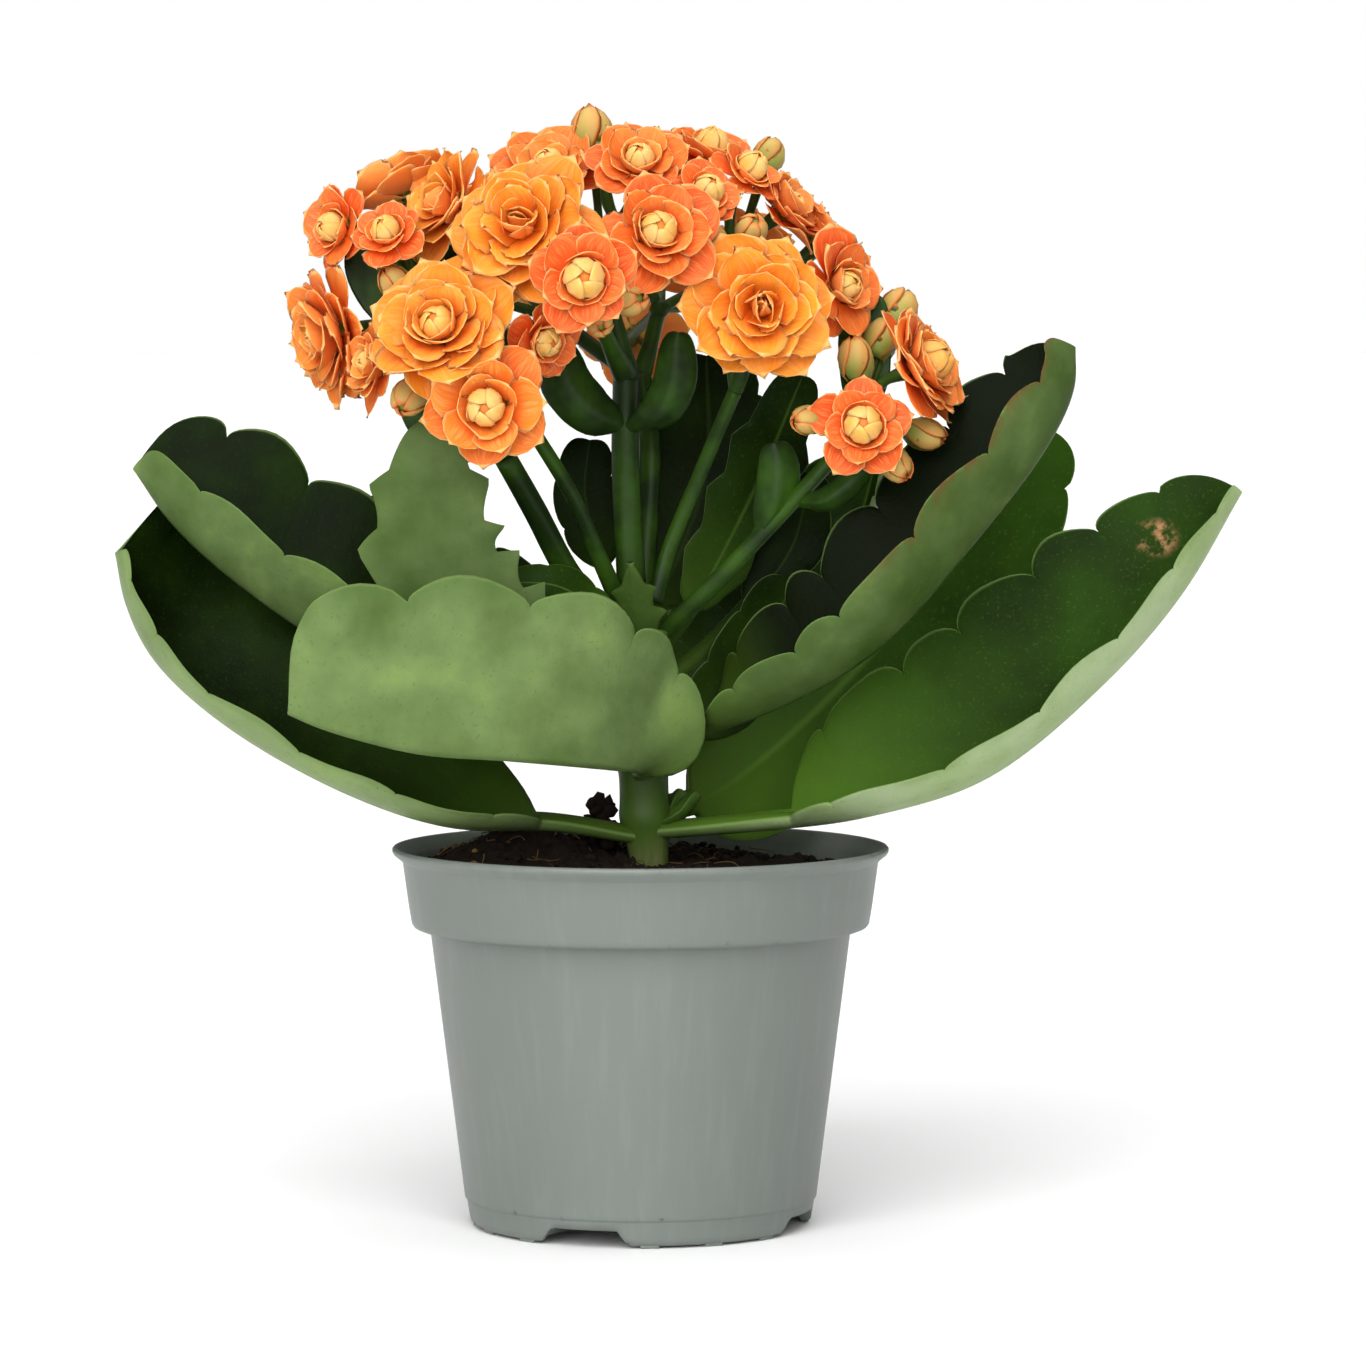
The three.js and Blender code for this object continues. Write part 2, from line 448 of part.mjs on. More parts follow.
const BLOOMS = [
  { name: 'bloom_01', at: [-50, -6, 221], face: [-0.45, 0.3, 0.85], radius: 11.5, kind: 'open' },
  { name: 'bloom_02', at: [-64, -12, 211], face: [-0.75, -0.65, 0.15], radius: 9, kind: 'half' },
  { name: 'bloom_03', at: [-52, -28, 210], face: [-0.3, -0.75, 0.6], radius: 7, kind: 'half' },
  { name: 'bloom_04', at: [-41, -22, 216], face: [-0.75, -0.5, 0.45], radius: 12, kind: 'open' },
  { name: 'bloom_05', at: [-24, -37, 211], face: [-0.25, -0.9, 0.35], radius: 16.5, kind: 'full' },
  { name: 'bloom_06', at: [-66, -12, 188], face: [-0.85, -0.4, -0.2], radius: 15, kind: 'full' },
  { name: 'bloom_07', at: [-41, -43, 191], face: [-0.25, -0.85, 0.45], radius: 16.5, kind: 'full' },
  { name: 'bloom_08', at: [-31, -48, 174], face: [-0.05, -1, -0.05], radius: 13.5, kind: 'half' },
  { name: 'bloom_09', at: [-11, -51, 200], face: [0.05, -1, 0.05], radius: 11.5, kind: 'half' },
  { name: 'bloom_10', at: [4, -37, 210], face: [0.15, -0.95, 0.25], radius: 13.5, kind: 'half' },
  { name: 'bloom_11', at: [0, -20, 225], face: [0.05, -0.75, 0.65], radius: 11.5, kind: 'open' },
  { name: 'bloom_12', at: [-21, -14, 226], face: [-0.15, -0.5, 0.85], radius: 12, kind: 'open' },
  { name: 'bloom_13', at: [-19, -36, 187], face: [0.5, -0.85, -0.1], radius: 9, kind: 'half' },
  { name: 'bloom_14', at: [-56, -26, 183], face: [-0.8, -0.4, 0.1], radius: 9, kind: 'open' },
  { name: 'bloom_15', at: [14, -24, 218], face: [0.35, -0.75, 0.55], radius: 7.5, kind: 'half' },
  { name: 'bloom_16', at: [15, 0, 228], face: [0.2, -0.3, 0.9], radius: 10.5, kind: 'open' },
  { name: 'bloom_17', at: [23, -12, 223], face: [0.5, -0.5, 0.7], radius: 7, kind: 'half' },
  { name: 'bloom_18', at: [25, -36, 194], face: [0.1, -0.98, 0.1], radius: 16, kind: 'full' },
  { name: 'bloom_19', at: [32, -5, 216], face: [0.75, -0.3, 0.6], radius: 10, kind: 'open' },
  { name: 'bloom_20', at: [40, 4, 209], face: [0.8, 0.1, 0.6], radius: 11, kind: 'open' },
  { name: 'bloom_21', at: [43, -15, 199], face: [0.75, -0.65, 0.1], radius: 10, kind: 'half' },
  { name: 'bloom_22', at: [60, -20, 183], face: [0.85, -0.35, 0.4], radius: 13, kind: 'full' },
  { name: 'bloom_23', at: [46, -29, 170], face: [0, -0.98, 0.15], radius: 10.5, kind: 'half' },
  { name: 'bloom_24', at: [-50, 14, 204], face: [-0.75, 0.5, 0.45], radius: 11, kind: 'open' },
  { name: 'bloom_25', at: [-34, 20, 217], face: [-0.4, 0.5, 0.8], radius: 11.5, kind: 'half' },
  { name: 'bloom_26', at: [-8, 16, 227], face: [-0.05, 0.35, 0.9], radius: 12, kind: 'open' },
  { name: 'bloom_27', at: [-20, 38, 206], face: [-0.25, 0.85, 0.45], radius: 13.5, kind: 'open' },
  { name: 'bloom_28', at: [6, 36, 208], face: [0.15, 0.85, 0.5], radius: 11.5, kind: 'half' },
  { name: 'bloom_29', at: [25, 22, 208], face: [0.55, 0.6, 0.55], radius: 11.5, kind: 'open' },
  { name: 'bloom_30', at: [-42, 32, 188], face: [-0.65, 0.75, 0.05], radius: 12, kind: 'open' },
  { name: 'bloom_31', at: [-2, 44, 188], face: [0.05, 1, 0], radius: 12.5, kind: 'open' },
];

// Shares of the bloom's radius: for each whorl the length of its petals and the height of their
// roots on the heart, with the angle in degrees at which they stand up from the bloom's flat
const WHORLS = {
  full: [{ length: 1.0, root: 0, rise: 8 }, { length: 0.8, root: 0.13, rise: 30 },
    { length: 0.58, root: 0.27, rise: 58 }],
  open: [{ length: 1.0, root: 0, rise: 10 }, { length: 0.74, root: 0.15, rise: 42 }],
  half: [{ length: 1.0, root: 0, rise: 16 }, { length: 0.74, root: 0.17, rise: 56 }],
};
const HEARTS = {
  full: [[0.1, 0.42], [0, 0.5]],
  open: [[0.16, 0.42], [0, 0.6]],
  half: [[0.2, 0.34], [0.28, 0.52], [0, 0.74]],
};
const HEART_DEPTH = 0.3;
const ROOT_RADIUS = 1.8;
const HEART_ROOT_RADIUS = 1.62;
const PETALS = 5;
const STEEPEST = 84;
const STEEPEST_START = 80;
const WHORL_APART = 5;
const RISE_STEP = 6;
const LENGTH_STEP = 0.88;
const BLOOM_TURN = 0.7;

// A petal's margin: [share of the angle to its edge, share of its length], from the cleft before it
const POINTED = [[-1, 0.66], [-0.62, 0.93], [0, 1.04], [0.62, 0.93]];
const BLUNT = [[-1, 0.7], [-0.55, 1], [0.55, 1]];
const CLEAR_PLACES = [[-0.55, 1], [0.55, 1], [0, 1.04], [0, 0.6]];

const bloomAxis = (bloom) => vec(bloom.face).normalize();
const bloomBase = (bloom) => vec(bloom.at).addScaledVector(bloomAxis(bloom), -HEART_DEPTH * bloom.radius);

// Whether a point keeps to its bloom's side of the planes halfway to the blooms round it
function keepsToItsSide(point, bloom) {
  const here = vec(bloom.at);
  return BLOOMS.every((other) => {
    if (other === bloom) return true;
    const between = vec(other.at).sub(here);
    const distance = between.length();
    const share = (distance * bloom.radius) / (bloom.radius + other.radius) - PETAL_THICK;
    return point.clone().sub(here).dot(between) / distance < share;
  });
}

// A point of a bloom: angle round its axis, distance from the axis and height above its base
function bloomPoint(bloom, angle, distance, height) {
  const axis = bloomAxis(bloom);
  const first = new THREE.Vector3(0, 0, 1).cross(axis).normalize();
  const second = new THREE.Vector3().crossVectors(axis, first);
  const out = first.multiplyScalar(Math.cos(angle)).addScaledVector(second, Math.sin(angle));
  return bloomBase(bloom).addScaledVector(axis, height).addScaledVector(out, distance);
}

// A point near the margin of a petal, raised square to the blade by lift
function marginPoint(bloom, root, angle, petal, share, lift) {
  const reach = share * petal.length - ROOT_RADIUS;
  const distance = ROOT_RADIUS + reach * Math.cos(petal.rise) - lift * Math.sin(petal.rise);
  const height = root + reach * Math.sin(petal.rise) + lift * Math.cos(petal.rise);
  return bloomPoint(bloom, angle, distance, height);
}

// A petal stands up further, and in the end is shorter, until it is clear of the next blooms
function clearPetal(bloom, whorl, centre, lowest) {
  const spread = Math.PI / PETALS;
  const petal = { rise: lowest, length: whorl.length * bloom.radius };
  const root = whorl.root * bloom.radius;
  const marginAt = ([side, share]) => marginPoint(bloom, root, centre + side * spread, petal, share, 0);
  const isClear = () => CLEAR_PLACES.every((place) => keepsToItsSide(marginAt(place), bloom));
  while (!isClear()) {
    petal.rise += RISE_STEP * DEG;
    if (petal.rise > STEEPEST * DEG) {
      petal.rise = lowest;
      petal.length *= LENGTH_STEP;
    }
  }
  return petal;
}

function bloomSolid(bloom, order) {
  const margin = bloom.kind === 'full' ? POINTED : BLUNT;
  const samples = PETALS * margin.length;
  const step = (2 * Math.PI) / samples;
  const start = order * BLOOM_TURN;
  const rings = [];
  let below = Array(PETALS).fill({ rise: 0 });
  WHORLS[bloom.kind].forEach((whorl, layer) => {
    const shift = layer * Math.floor(margin.length / 2);
    const root = whorl.root * bloom.radius;
    const belowRise = Math.max(...below.map((petal) => petal.rise));
    const lowest = Math.min(Math.max(whorl.rise * DEG, belowRise + WHORL_APART * DEG), STEEPEST_START * DEG);
    const middleOf = (i) => start + (i * margin.length + shift + margin.length / 2) * step;
    const petals = Array.from({ length: PETALS }, (_, i) => clearPetal(bloom, whorl, middleOf(i), lowest));
    below = petals;
    const [low, high, roots] = [[], [], []];
    for (let k = 0; k < samples; k += 1) {
      const along = (k - shift + samples) % samples;
      const number = Math.floor(along / margin.length);
      const [side, share] = margin[along % margin.length];
      const before = petals[(number + PETALS - 1) % PETALS];
      const petal = { ...petals[number] };
      if (side === -1) petal.rise = Math.max(petal.rise, before.rise);
      if (side === -1) petal.length = Math.min(petal.length, before.length);
      const angle = start + (number * margin.length + shift + (margin.length / 2) * (1 + side)) * step;
      roots.push(bloomPoint(bloom, start + k * step, ROOT_RADIUS, root));
      low.push(marginPoint(bloom, root + PETAL_THICK / 2, angle, petal, share, -PETAL_THICK / 2));
      high.push(marginPoint(bloom, root + PETAL_THICK / 2, angle, petal, share, PETAL_THICK / 2));
    }
    rings.push(roots, low, high);
  });
  for (const [distance, height] of HEARTS[bloom.kind].slice(0, -1)) {
    const wide = Math.max(distance * bloom.radius, HEART_ROOT_RADIUS);
    const around = (k) => bloomPoint(bloom, start + k * step, wide, height * bloom.radius);
    rings.push(Array.from({ length: samples }, (_, k) => around(k)));
  }
  const tip = HEARTS[bloom.kind][HEARTS[bloom.kind].length - 1][1] * bloom.radius;
  return ringSolid(rings, bloomBase(bloom), bloomPoint(bloom, 0, 0, tip));
}

// A closed body through rings of equally many points, with a point at its foot and one at its top
function ringSolid(rings, foot, top) {
  const samples = rings[0].length;
  const points = [...rings.flat(), foot, top].map((point) => point.toArray());
  const faces = [];
  const last = (rings.length - 1) * samples;
  for (let k = 0; k < samples; k += 1) {
    const next = (k + 1) % samples;
    faces.push([rings.length * samples, next, k], [rings.length * samples + 1, last + k, last + next]);
    for (let ring = 0; ring < rings.length - 1; ring += 1) {
      const [a, b] = [ring * samples + k, ring * samples + next];
      const [c, d] = [a + samples, b + samples];
      if (ring % 3 === 2) faces.push([a, b, c], [b, d, c]);
      else faces.push([a, b, d], [a, d, c]);
    }
  }
  return rightWayOut(closedGeometry(points, faces));
}

// The sprays: a flower stalk, its forks, and from each fork a thin stalk to every bloom and bud

const SPRAYS = [
  { name: 'spray_centre', stalk: [[-2.1, -0.2, STEM_TOP_Z + GAP], [-3, -2, 160], [-3, -4, 180]],
    radii: [3.1, 2.8],
    bracts: [
      { notches: [0.5], depth: 0.03, petiole: 0.05, across: [0.4, 0, 1], face: [0.3, 0.8, 0.5],
        plus: [6, 10, 30], minus: [6, 10, 30],
        rib: [[-3, -4, 170], [-9, -9, 172], [-15, -11, 178], [-18, -11, 187]] },
      { notches: [0.5], depth: 0.03, petiole: 0.05, across: [1, 0, -0.3], face: [-0.3, 0.8, 0.5],
        plus: [5, 10, 30], minus: [5, 10, 30],
        rib: [[-3, -4, 169], [3, -9, 171], [7, -12, 178], [8, -13, 189]] },
    ],
    forks: [
      { at: [-10, -22, 196], blooms: [5, 9, 10], buds: [[-2, -36, 196, 4.2], [-8, -38, 191, 3.2]] },
      { at: [-8, -10, 206], blooms: [11, 12], buds: [[-10, -5, 231, 4.6]] },
    ] },
  { name: 'spray_left', stalk: [[-4, -4, 131], [-9, -9, 143], [-14, -14, 155], [-23, -20, 170]],
    radii: [2, 1.6, 1.5], bracts: [], forks: [{ at: [-26, -22, 180], blooms: [4, 7, 8, 13], buds: [] }] },
  { name: 'spray_far_left', stalk: [[-5, 0, 127], [-14, -4, 137], [-22, -12, 152], [-28, -20, 163]],
    radii: [2.6, 2.6, 2.4],
    bracts: [
      { notches: [0.5], depth: 0.03, petiole: 0.05, across: [0.4, 0, 1], face: [0.3, 0.8, 0.5],
        plus: [5, 10, 30], minus: [5, 10, 30],
        rib: [[-29, -19, 166], [-36, -22, 166], [-43, -24, 170], [-48, -24, 176]] },
    ],
    forks: [
      { at: [-40, -18, 186], blooms: [2, 3, 6, 14, 1], buds: [[-47, -34, 176, 4.4], [-50, -26, 199, 4]] },
    ] },
  { name: 'spray_right', stalk: [[3, 0, 132], [6, 1, 143], [13, -2, 160], [20, -9, 177]],
    radii: [1.8, 1.6, 1.5],
    bracts: [],
    forks: [
      { at: [22, -12, 184], blooms: [18, 21], buds: [[16, -26, 208, 2.6]] },
      { at: [18, -8, 200], blooms: [15, 16, 17, 19, 20], buds: [[23, -24, 210, 3.8], [27, 8, 226, 4]] },
    ] },
  { name: 'spray_far_right', stalk: [[3, -2, 124], [19, -8, 140], [34, -13, 156], [42, -15, 165]],
    radii: [2, 1.8, 1.6],
    bracts: [
      { notches: [0.5], depth: 0.03, petiole: 0.05, across: [1, 0, 0], face: [0, 1, 0.3],
        plus: [5, 10, 30], minus: [5, 10, 30],
        rib: [[25, -10, 147], [28, -13, 153], [29, -14, 161], [28, -14, 166]] },
      { notches: [0.5], depth: 0.03, petiole: 0.05, across: [-0.4, 0, 1], face: [0, 1, 0.3],
        plus: [3, 10, 30], minus: [3, 10, 30],
        rib: [[33, -12, 154], [38, -16, 154], [43, -18, 157], [48, -18, 162]] },
    ],
    forks: [
      { at: [46, -15, 171], blooms: [22, 23], buds: [[45, -15, 183, 4.4], [50, -7, 187, 4.6],
        [35, -24, 171, 3.6], [53, -22, 162, 3.8], [59, -17, 168, 4], [54, -3, 193, 5]] },
    ] },
  { name: 'spray_back', stalk: [[0, 3, 129], [1, 8, 143], [2, 10, 165], [0, 13, 180]],
    radii: [2.4, 2.4, 2.2],
    bracts: [],
    forks: [
      { at: [-18, 14, 192], blooms: [24, 25, 27, 30], buds: [[-30, 26, 202, 4]] },
      { at: [4, 14, 194], blooms: [26, 28, 29, 31], buds: [[16, 30, 196, 4]] },
    ] },
];

const STALK_SIDES = 6;
const STALK_STEPS = 4;
const THIN_SIDES = 3;
const FORK_KNOT_RADIUS = 2.3;
const BUD_SIDES = 5;
const BUD_SINK = 0.6;

// A bud's outline in shares of its size: [radius, height]
const BUD_PROFILE = [[0, -0.9], [0.75, -0.4], [0.75, 0.45], [0, 1.25]];

function spraySolid(spray) {
  const end = spray.stalk[spray.stalk.length - 1];
  const stalk = solidOf(tube(spray.stalk, spray.radii, STALK_SIDES, STALK_STEPS));
  const parts = [stalk, ...spray.bracts.map(leafSolid)];
  for (const fork of spray.forks) {
    parts.push(solidOf(tube([end, fork.at], FORK_RADII, THIN_SIDES, 1)));
    parts.push(solidOf(new THREE.OctahedronGeometry(FORK_KNOT_RADIUS).translate(...fork.at)));
    for (const number of fork.blooms) {
      const bloom = BLOOMS[number - 1];
      const axis = bloomAxis(bloom);
      const base = bloomBase(bloom).addScaledVector(axis, -GAP);
      const bend = base.clone().addScaledVector(axis, -PEDICEL_BEND * bloom.radius);
      const line = [fork.at, bend.toArray(), base.toArray()];
      parts.push(solidOf(tube(line, PEDICEL_RADII, THIN_SIDES, 2)));
    }
    for (const [x, y, z, size] of fork.buds) {
      const way = new THREE.Vector3(x, y, z).sub(vec(fork.at)).normalize();
      const foot = new THREE.Vector3(x, y, z).addScaledVector(way, -size * BUD_SINK);
      parts.push(solidOf(tube([fork.at, foot.toArray()], BUD_STALK_RADII, THIN_SIDES, 1)));
      const shape = BUD_PROFILE.map(([radius, height]) => [radius * size, height * size]);
      parts.push(turned(shape, [x, y, z], way.toArray(), BUD_SIDES));
    }
  }
  return joined(parts);
}

// Materials: colour and roughness

const POT_PLASTIC = ['#7d8984', 0.45];
const SOIL_BROWN = ['#2a1d16', 0.95];
const STEM_GREEN = ['#4c7a38', 0.5];
const LEAF_GREEN = ['#4f7a3c', 0.5];
const PETAL_ORANGE = ['#f58a3c', 0.6];

// The assembly

const plant = new THREE.Group();

function place(name, geometry, [color, roughness]) {
  const material = new THREE.MeshStandardMaterial({ color, roughness, metalness: 0 });
  const mesh = new THREE.Mesh(geometry, material);
  mesh.name = name;
  plant.add(mesh);
}

place('pot', pot(), POT_PLASTIC);
place('soil', soil(), SOIL_BROWN);
place('stem', geometryOf(stemSolid(0)), STEM_GREEN);
const stemClearance = stemSolid(GAP);
for (const leaf of LEAVES) {
  place(leaf.name, geometryOf(leafSolid(leaf).subtract(stemClearance)), LEAF_GREEN);
}
for (const spray of SPRAYS) {
  place(spray.name, geometryOf(spraySolid(spray).subtract(stemClearance)), STEM_GREEN);
}
BLOOMS.forEach((bloom, order) => place(bloom.name, geometryOf(bloomSolid(bloom, order)), PETAL_ORANGE));

export default plant;
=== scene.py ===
# A flowering potted kalanchoe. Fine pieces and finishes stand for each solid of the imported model.
# Blender's units are metres, +Z up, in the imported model's own frame. The tables and shapes below
# are in millimetres, as the solids are, and MM turns them into metres.
import math
import random
from bisect import bisect_right
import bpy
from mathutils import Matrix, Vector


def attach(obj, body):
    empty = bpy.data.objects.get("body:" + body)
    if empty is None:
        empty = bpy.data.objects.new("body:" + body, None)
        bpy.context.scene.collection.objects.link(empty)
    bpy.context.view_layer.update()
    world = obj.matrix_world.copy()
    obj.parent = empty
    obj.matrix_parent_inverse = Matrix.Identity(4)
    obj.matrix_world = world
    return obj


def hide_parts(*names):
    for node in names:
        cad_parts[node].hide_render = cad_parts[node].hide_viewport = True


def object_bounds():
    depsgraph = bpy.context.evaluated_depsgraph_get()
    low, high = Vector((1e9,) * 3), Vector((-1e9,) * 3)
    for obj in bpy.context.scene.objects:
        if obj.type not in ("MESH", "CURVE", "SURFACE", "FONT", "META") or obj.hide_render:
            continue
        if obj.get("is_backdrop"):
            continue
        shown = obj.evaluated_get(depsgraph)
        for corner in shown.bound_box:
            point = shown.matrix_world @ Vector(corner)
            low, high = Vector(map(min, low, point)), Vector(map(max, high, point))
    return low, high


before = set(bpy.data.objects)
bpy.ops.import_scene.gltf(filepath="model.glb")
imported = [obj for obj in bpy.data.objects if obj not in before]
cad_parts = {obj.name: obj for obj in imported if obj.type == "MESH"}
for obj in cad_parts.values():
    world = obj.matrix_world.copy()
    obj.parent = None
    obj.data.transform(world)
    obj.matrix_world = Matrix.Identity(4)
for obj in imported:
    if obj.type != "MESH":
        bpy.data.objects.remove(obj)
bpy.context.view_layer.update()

from types import SimpleNamespace

import bmesh
import bpy
from bpy.props import FloatProperty, FloatVectorProperty, IntProperty, PointerProperty
from mathutils import Matrix, Vector, noise

bl_info = {
    "name": "Potted kalanchoe",
    "version": (1, 0, 0),
    "blender": (4, 5, 0),
    "location": "3D View > Sidebar > Kalanchoe",
    "description": "Builds a double-flowered kalanchoe in a plain nursery pot",
    "category": "Add Mesh",
}

MM = 0.001
DEG = math.pi / 180
ROUND = 2 * math.pi
UP = (0, 0, 1)
NEAR_UPRIGHT = 0.95


# Small helpers

def linear(code):
    """A colour written as #rrggbb, in Blender's linear values."""
    shares = [int(code[i:i + 2], 16) / 255 for i in (1, 3, 5)]
    return tuple(c / 12.92 if c <= 0.04045 else ((c + 0.055) / 1.055) ** 2.4 for c in shares)


def mix(a, b, share):
    return a + (b - a) * share


def clamp01(value):
    return min(1.0, max(0.0, value))


def smooth(value):
    value = clamp01(value)
    return value * value * (3 - 2 * value)


def unit(values):
    return Vector(values).normalized()


def level_spot(radius, angle):
    return radius * math.cos(angle), radius * math.sin(angle)


def axes_round(axis):
    """Two directions square to an axis and to each other."""
    first = Vector(UP).cross(axis).normalized() if abs(axis.z) < NEAR_UPRIGHT else Vector((1, 0, 0))
    return first, axis.cross(first)


def outward(axis, angle):
    """A direction square to an axis, at an angle round it."""
    first, second = axes_round(axis)
    return first * math.cos(angle) + second * math.sin(angle)


def facing(axis):
    """The turn that lays +Z along an axis."""
    return Matrix((*axes_round(axis), axis)).transposed()


def random_turn(draw):
    return Matrix.Rotation(draw.uniform(0, 6), 3, unit([draw.uniform(-1, 1) for _ in range(3)]))


class SmoothLine:
    """A smooth line through points, read by its share of length."""

    STEPS = 30
    SLOPE_REACH = 0.01

    def __init__(self, points):
        through = [Vector(p) for p in points]
        ends = [2 * through[0] - through[1], *through, 2 * through[-1] - through[-2]]
        self.places = [through[0].copy()]
        for i in range(len(through) - 1):
            p0, p1, p2, p3 = ends[i:i + 4]
            d0, d1, d2 = [(b - a).length ** 0.5 for a, b in ((p0, p1), (p1, p2), (p2, p3))]
            t1 = ((p1 - p0) / d0 - (p2 - p0) / (d0 + d1) + (p2 - p1) / d1) * d1
            t2 = ((p2 - p1) / d1 - (p3 - p1) / (d1 + d2) + (p3 - p2) / d2) * d1
            for k in range(1, self.STEPS + 1):
                u = k / self.STEPS
                curve = (2 * p1 - 2 * p2 + t1 + t2) * u ** 3 + (3 * p2 - 3 * p1 - 2 * t1 - t2) * u ** 2
                self.places.append(curve + t1 * u + p1)
        self.lengths = [0.0]
        for a, b in zip(self.places, self.places[1:]):
            self.lengths.append(self.lengths[-1] + (b - a).length)

    def point(self, share):
        goal = clamp01(share) * self.lengths[-1]
        i = min(max(bisect_right(self.lengths, goal) - 1, 0), len(self.places) - 2)
        span = self.lengths[i + 1] - self.lengths[i]
        return self.places[i].lerp(self.places[i + 1], (goal - self.lengths[i]) / span)

    def along(self, share):
        low, high = max(0.0, share - self.SLOPE_REACH), min(1.0, share + self.SLOPE_REACH)
        return (self.point(high) - self.point(low)).normalized()


# Skins and pieces

# What the finishes read on each point: its place, its side, how young or dark (a flower stalk's dark is
# painted shade), how pale, rim or scar
MARKS = ("along", "across", "upper", "tone", "pale", "spot")
WELD = 1e-4
LUMP_GRAIN = 1.7
MOSTLY_ALONG_X = 0.7
RIDGES = 3
RIDGE_TWIST = 5


class Skin:
    """A mesh in the making, in millimetres, with marks on its points that the finishes read."""

    def __init__(self):
        self.bm = bmesh.new()
        self.layers = {name: self.bm.verts.layers.float.new(name) for name in MARKS}

    def put(self, vert, place, marks):
        vert.co = place
        for name, value in marks.items():
            vert[self.layers[name]] = value

    def wrap(self, around, along, shape):
        """Adds a closed skin. shape(turn, share) gives a point and its marks; ends meet in points."""
        made = bmesh.ops.create_grid(self.bm, x_segments=around, y_segments=along, size=0.5)["verts"]
        for vert in made:
            self.put(vert, *shape(vert.co.x + 0.5, vert.co.y + 0.5))
        bmesh.ops.remove_doubles(self.bm, verts=made, dist=WELD)

    def lump(self, centre, radii, turn, detail, rough, marks):
        """Adds a rounded lump with uneven sides."""
        made = bmesh.ops.create_icosphere(self.bm, subdivisions=detail, radius=1.0)["verts"]
        for vert in made:
            swell = 1 + rough * noise.noise(vert.co * LUMP_GRAIN + Vector(centre))
            point = turn @ Vector([vert.co[i] * radii[i] * swell for i in range(3)])
            self.put(vert, point + Vector(centre), marks)

    def piece(self, node, slot, material):
        """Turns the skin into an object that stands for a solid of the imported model."""
        bmesh.ops.recalc_face_normals(self.bm, faces=self.bm.faces)
        bmesh.ops.transform(self.bm, matrix=Matrix.Scale(MM, 4), verts=self.bm.verts)
        mesh = bpy.data.meshes.new("fine_" + node)
        self.bm.to_mesh(mesh)
        self.bm.free()
        mesh.shade_smooth()
        mesh.materials.append(material)
        piece = bpy.data.objects.new("fine_" + node, mesh)
        bpy.context.scene.collection.objects.link(piece)
        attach(piece, "root")
        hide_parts(node)


def tube(skin, points, radii, around, along, marks=None, ridges=0.0):
    """A round stalk along a smooth line, closed at both ends."""
    line = SmoothLine(points)
    whole = Vector(points[-1]) - Vector(points[0])
    reference = Vector((1, 0, 0) if abs(whole.x) < MOSTLY_ALONG_X * whole.length else (0, 1, 0))

    def shape(turn, share):
        row = round(share * along)
        spot = clamp01((row - 1) / (along - 2))
        place = spot * (len(radii) - 1)
        low = min(int(place), len(radii) - 2)
        radius = 0.0 if row in (0, along) else mix(radii[low], radii[low + 1], place - low)
        way = line.along(spot)
        side = way.cross(reference).normalized()
        front = way.cross(side)
        angle = turn * ROUND
        radius *= 1 + ridges * math.sin(RIDGES * angle + RIDGE_TWIST * spot)
        point = line.point(spot) + side * (radius * math.cos(angle)) + front * (radius * math.sin(angle))
        return point, {"along": spot, "across": math.cos(angle), **(marks or {})}

    skin.wrap(around, along, shape)


# Node trees

